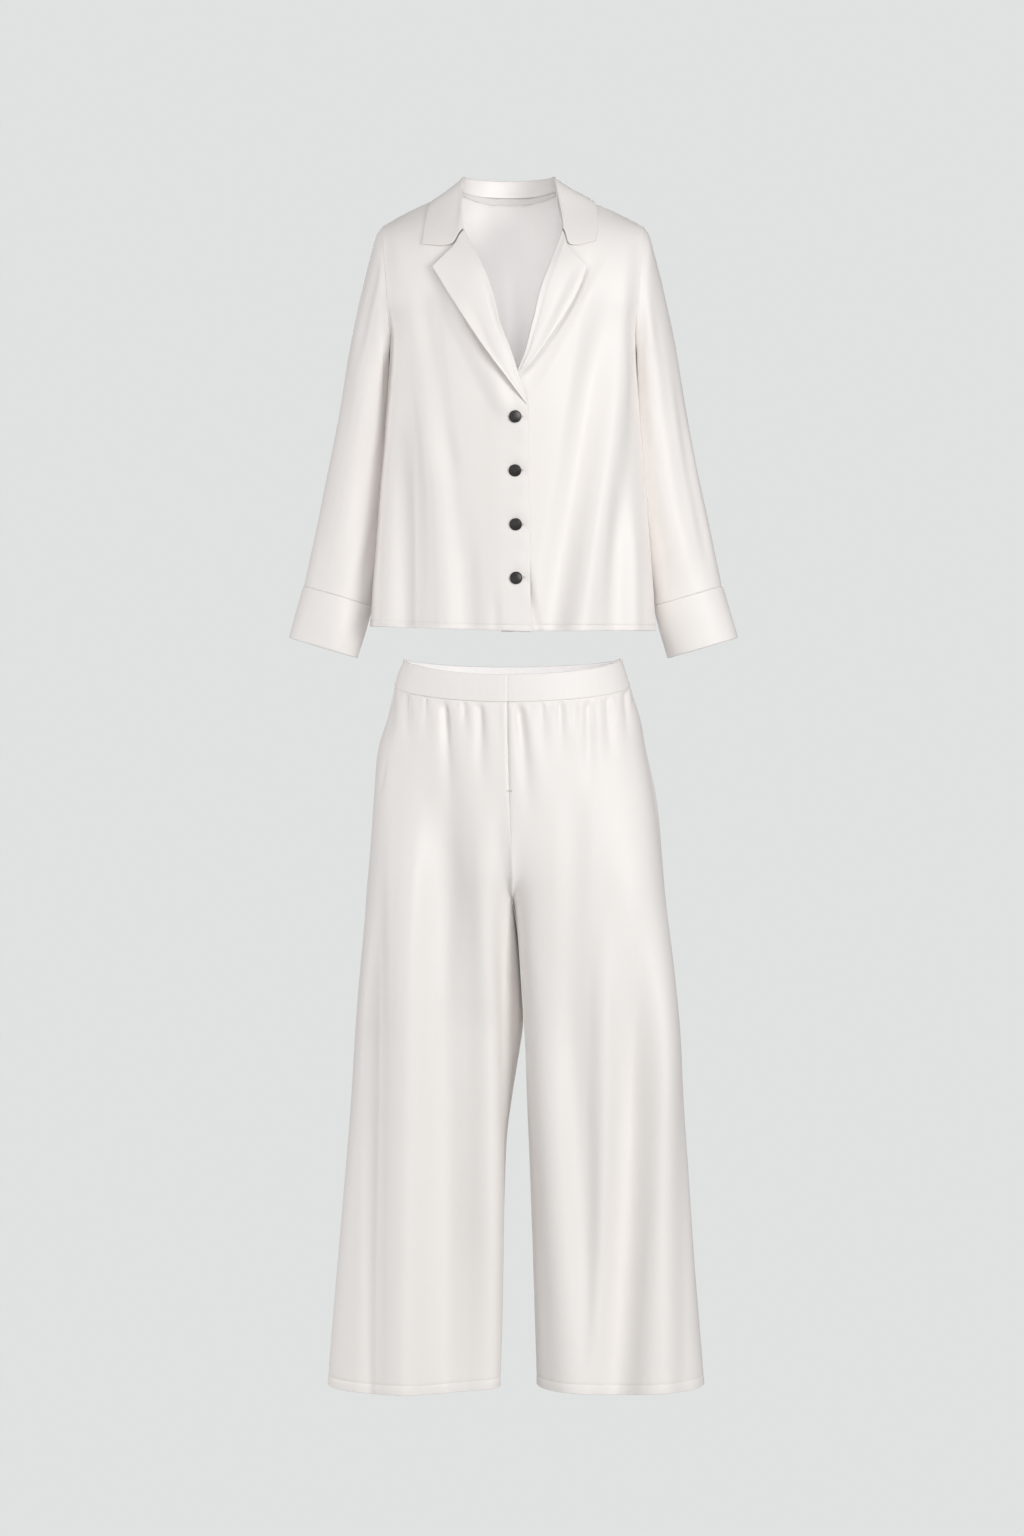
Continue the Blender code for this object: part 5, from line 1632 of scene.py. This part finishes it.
def stitch_tree(look):
    tree = bpy.data.node_groups.new("machine_stitches", "GeometryNodeTree")
    face = tree.interface
    face.new_socket("Path", in_out="INPUT", socket_type="NodeSocketGeometry")
    for name, value in STITCH_SIZES.items():
        face.new_socket(name, in_out="INPUT", socket_type="NodeSocketFloat").default_value = value
    face.new_socket("Facing", in_out="INPUT", socket_type="NodeSocketVector").default_value = (0, -1, 0)
    face.new_socket("Stitches", in_out="OUTPUT", socket_type="NodeSocketGeometry")
    given = node(tree, "NodeGroupInput").outputs
    path = node(tree, "GeometryNodeMeshToCurve", {"Mesh": given["Path"]})
    spots = node(tree, "GeometryNodeResampleCurve",
                 {"Curve": path.outputs[0], "Length": given["Pitch"]}, mode="LENGTH")
    along = node(tree, "GeometryNodeInputTangent")
    over = node(tree, "ShaderNodeVectorMath",
                {0: along.outputs[0], 1: given["Facing"]}, operation="CROSS_PRODUCT")
    way = node(tree, "ShaderNodeMix",
               {0: given["Across"], 4: along.outputs[0], 5: over.outputs[0]}, data_type="VECTOR")
    turn = node(tree, "FunctionNodeAlignRotationToVector", {"Vector": way.outputs[1]}, axis="X")
    size = node(tree, "ShaderNodeCombineXYZ",
                {"X": given["Length"], "Y": given["Width"], "Z": given["Width"]})
    bead = node(tree, "GeometryNodeMeshUVSphere", Segments=6, Rings=4, Radius=0.5)
    shaped = node(tree, "GeometryNodeTransform", {"Geometry": bead.outputs[0], "Scale": size.outputs[0]})
    uneven = node(tree, "FunctionNodeRandomValue", data_type="FLOAT")
    for socket, value in (("Min", 0.9), ("Max", 1.1)):
        next(i for i in uneven.inputs if i.name == socket and i.type == "VALUE").default_value = value
    uneven.inputs["Seed"].default_value = 12
    laid = node(tree, "GeometryNodeInstanceOnPoints", {
        "Points": spots.outputs[0], "Instance": shaped.outputs[0],
        "Rotation": turn.outputs[0], "Scale": uneven.outputs[1]})
    real = node(tree, "GeometryNodeRealizeInstances", {0: laid.outputs[0]})
    named = node(tree, "GeometryNodeSetMaterial", {"Geometry": real.outputs[0]})
    named.inputs["Material"].default_value = look
    node(tree, "NodeGroupOutput", {"Stitches": named.outputs[0]})
    return tree


stitching = stitch_tree(ivory_thread)
stitch_pieces = []


# %% Sewing a line
def sewn(name, paths, **sizes):
    """Stitches along each path, a list of points in mm; sizes are the tree's own inputs."""
    points, edges = [], []
    for path in paths:
        edges += [(len(points) + i, len(points) + i + 1) for i in range(len(path) - 1)]
        points += [tuple(p) for p in np.asarray(path) * MM]
    mesh = bpy.data.meshes.new(name + "_path")
    mesh.from_pydata(points, edges, [])
    piece = added(name, mesh)
    maker = piece.modifiers.new("stitches", "NODES")
    maker.node_group = stitching
    for socket in stitching.interface.items_tree:
        if socket.in_out == "INPUT" and socket.name in sizes:
            maker[socket.identifier] = sizes[socket.name]
    result = settled(piece)
    result.shade_smooth()
    stitch_pieces.append(piece)
    print(name, len(result.polygons), "faces")


def parallel(grid, far, distance, lift=0.12):
    """A line on the cloth at a distance from an edge; `far` is each point's own distance."""
    high = grid + directions(grid) * lift
    line = []
    for c in range(grid.shape[1]):
        order = np.argsort(far[:, c])
        line.append(read_line(high[order, c], far[order, c], distance))
    return line


# %% The hems' stitches
hem_lines = [parallel(grid, lengths(grid, 0), BODY_HEM) for grid in (fronts[LEFT], fronts[RIGHT], back)]
sewn("jacket_hem_stitches", hem_lines)
sewn("trouser_hem_stitches", [parallel(grid, from_last(grid), LEG_HEM) for grid in trousers.values()])
tape_lines = [[p + w * 0.1 for p, w in zip(tape[r], directions(tape)[r])] for r in (0, -1)]
sewn("neck_tape_stitches", [
    [mix(a, b, 0.12) for a, b in zip(tape_lines[i], tape_lines[1 - i])] for i in (0, 1)])


# %% Buttonholes and the fly's bar tack
HOLE_LENGTH = 21.0
HOLE_WIDTH = 1.9


def buttonhole(at_x, at_z):
    """A long loop round the slit, on the face of the upper front."""
    turn = np.linspace(0, 2 * math.pi, 49)
    half = (HOLE_LENGTH - HOLE_WIDTH) / 2
    across = np.cos(turn)
    x = at_x + 1.2 + half * np.sign(across) * (np.abs(across) > 0.02) + HOLE_WIDTH / 2 * across
    z = at_z + HOLE_WIDTH / 2 * np.sin(turn)
    loop = []
    for px, pz in zip(x, z):
        spot, way = seen_from_front(upper_front, px, pz)
        loop.append(spot + way * 0.15)
    return loop


sewn("buttonhole_stitches", [buttonhole(*spot) for spot in BUTTON_SPOTS],
     Pitch=0.55 * MM, Length=1.5 * MM, Width=0.5 * MM, Across=1.0)
trouser_fronts = tree_of(trousers[FRONT, LEFT], trousers[FRONT, RIGHT])
tack = [seen_from_front(trouser_fronts, x, FLY_FOOT + 4)[0] - [0, 0.2, 0] for x in np.linspace(-8, -1, 8)]
sewn("fly_bar_tack", [tack], Pitch=0.55 * MM, Length=2.2 * MM, Width=0.55 * MM, Across=1.0)


# %% [markdown]
# ## Riding, replacing and the cut
#
# Every piece rides on the set's one body and stands for the plain wall that it replaces. Each
# panel is also a sheet of cloth, so the cut of what shows is given. Width and length are the
# longest ways across and along the piece, followed over its folds and turned edges. A sleeve's
# width is its girth square to the arm, and a trouser panel's length leaves out the longest tenth of
# its columns, which bend round the crotch. Satin hardly stretches, so the area of the cut is taken
# to be the worn cloth's own.

# %% Riding, replacing and cut sizes
Cut = namedtuple("Cut", "node width length area held")
CUTS = (
    Cut("front_left", 0.311, 0.694, 0.157, "hung"),
    Cut("front_right", 0.302, 0.692, 0.155, "hung"),
    Cut("back", 0.483, 0.662, 0.271, "hung"),
    Cut("sleeve_left", 0.315, 0.520, 0.135, "hung"),
    Cut("sleeve_right", 0.317, 0.520, 0.136, "hung"),
    Cut("cuff_left", 0.307, 0.104, 0.0313, "folded"),
    Cut("cuff_right", 0.307, 0.104, 0.0313, "folded"),
    Cut("lapel_left", 0.087, 0.276, 0.0134, "folded"),
    Cut("lapel_right", 0.083, 0.229, 0.0103, "folded"),
    Cut("collar", 0.502, 0.084, 0.0321, "folded"),
    Cut("neck_tape", 0.190, 0.010, 0.0017, "hung"),
    Cut("trouser_front_left", 0.352, 1.005, 0.309, "hung"),
    Cut("trouser_front_right", 0.364, 1.005, 0.319, "hung"),
    Cut("trouser_back_left", 0.346, 1.008, 0.291, "hung"),
    Cut("trouser_back_right", 0.343, 1.002, 0.288, "hung"),
    Cut("waistband_front", 0.426, 0.083, 0.0326, "gathered"),
    Cut("waistband_back", 0.419, 0.083, 0.0318, "gathered"),
)
for cut in CUTS:
    piece = pieces[cut.node]
    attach(piece, "root")
    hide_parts(cut.node)
    one_side = sum(polygon.area for polygon in piece.data.polygons)
    print(piece.name, "stated", cut.area, "m2; worn", round(one_side, 4), "m2")
for piece in stitch_pieces:
    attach(piece, "root")
for name, piece in buttons.items():
    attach(piece, "root")
    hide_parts(name)
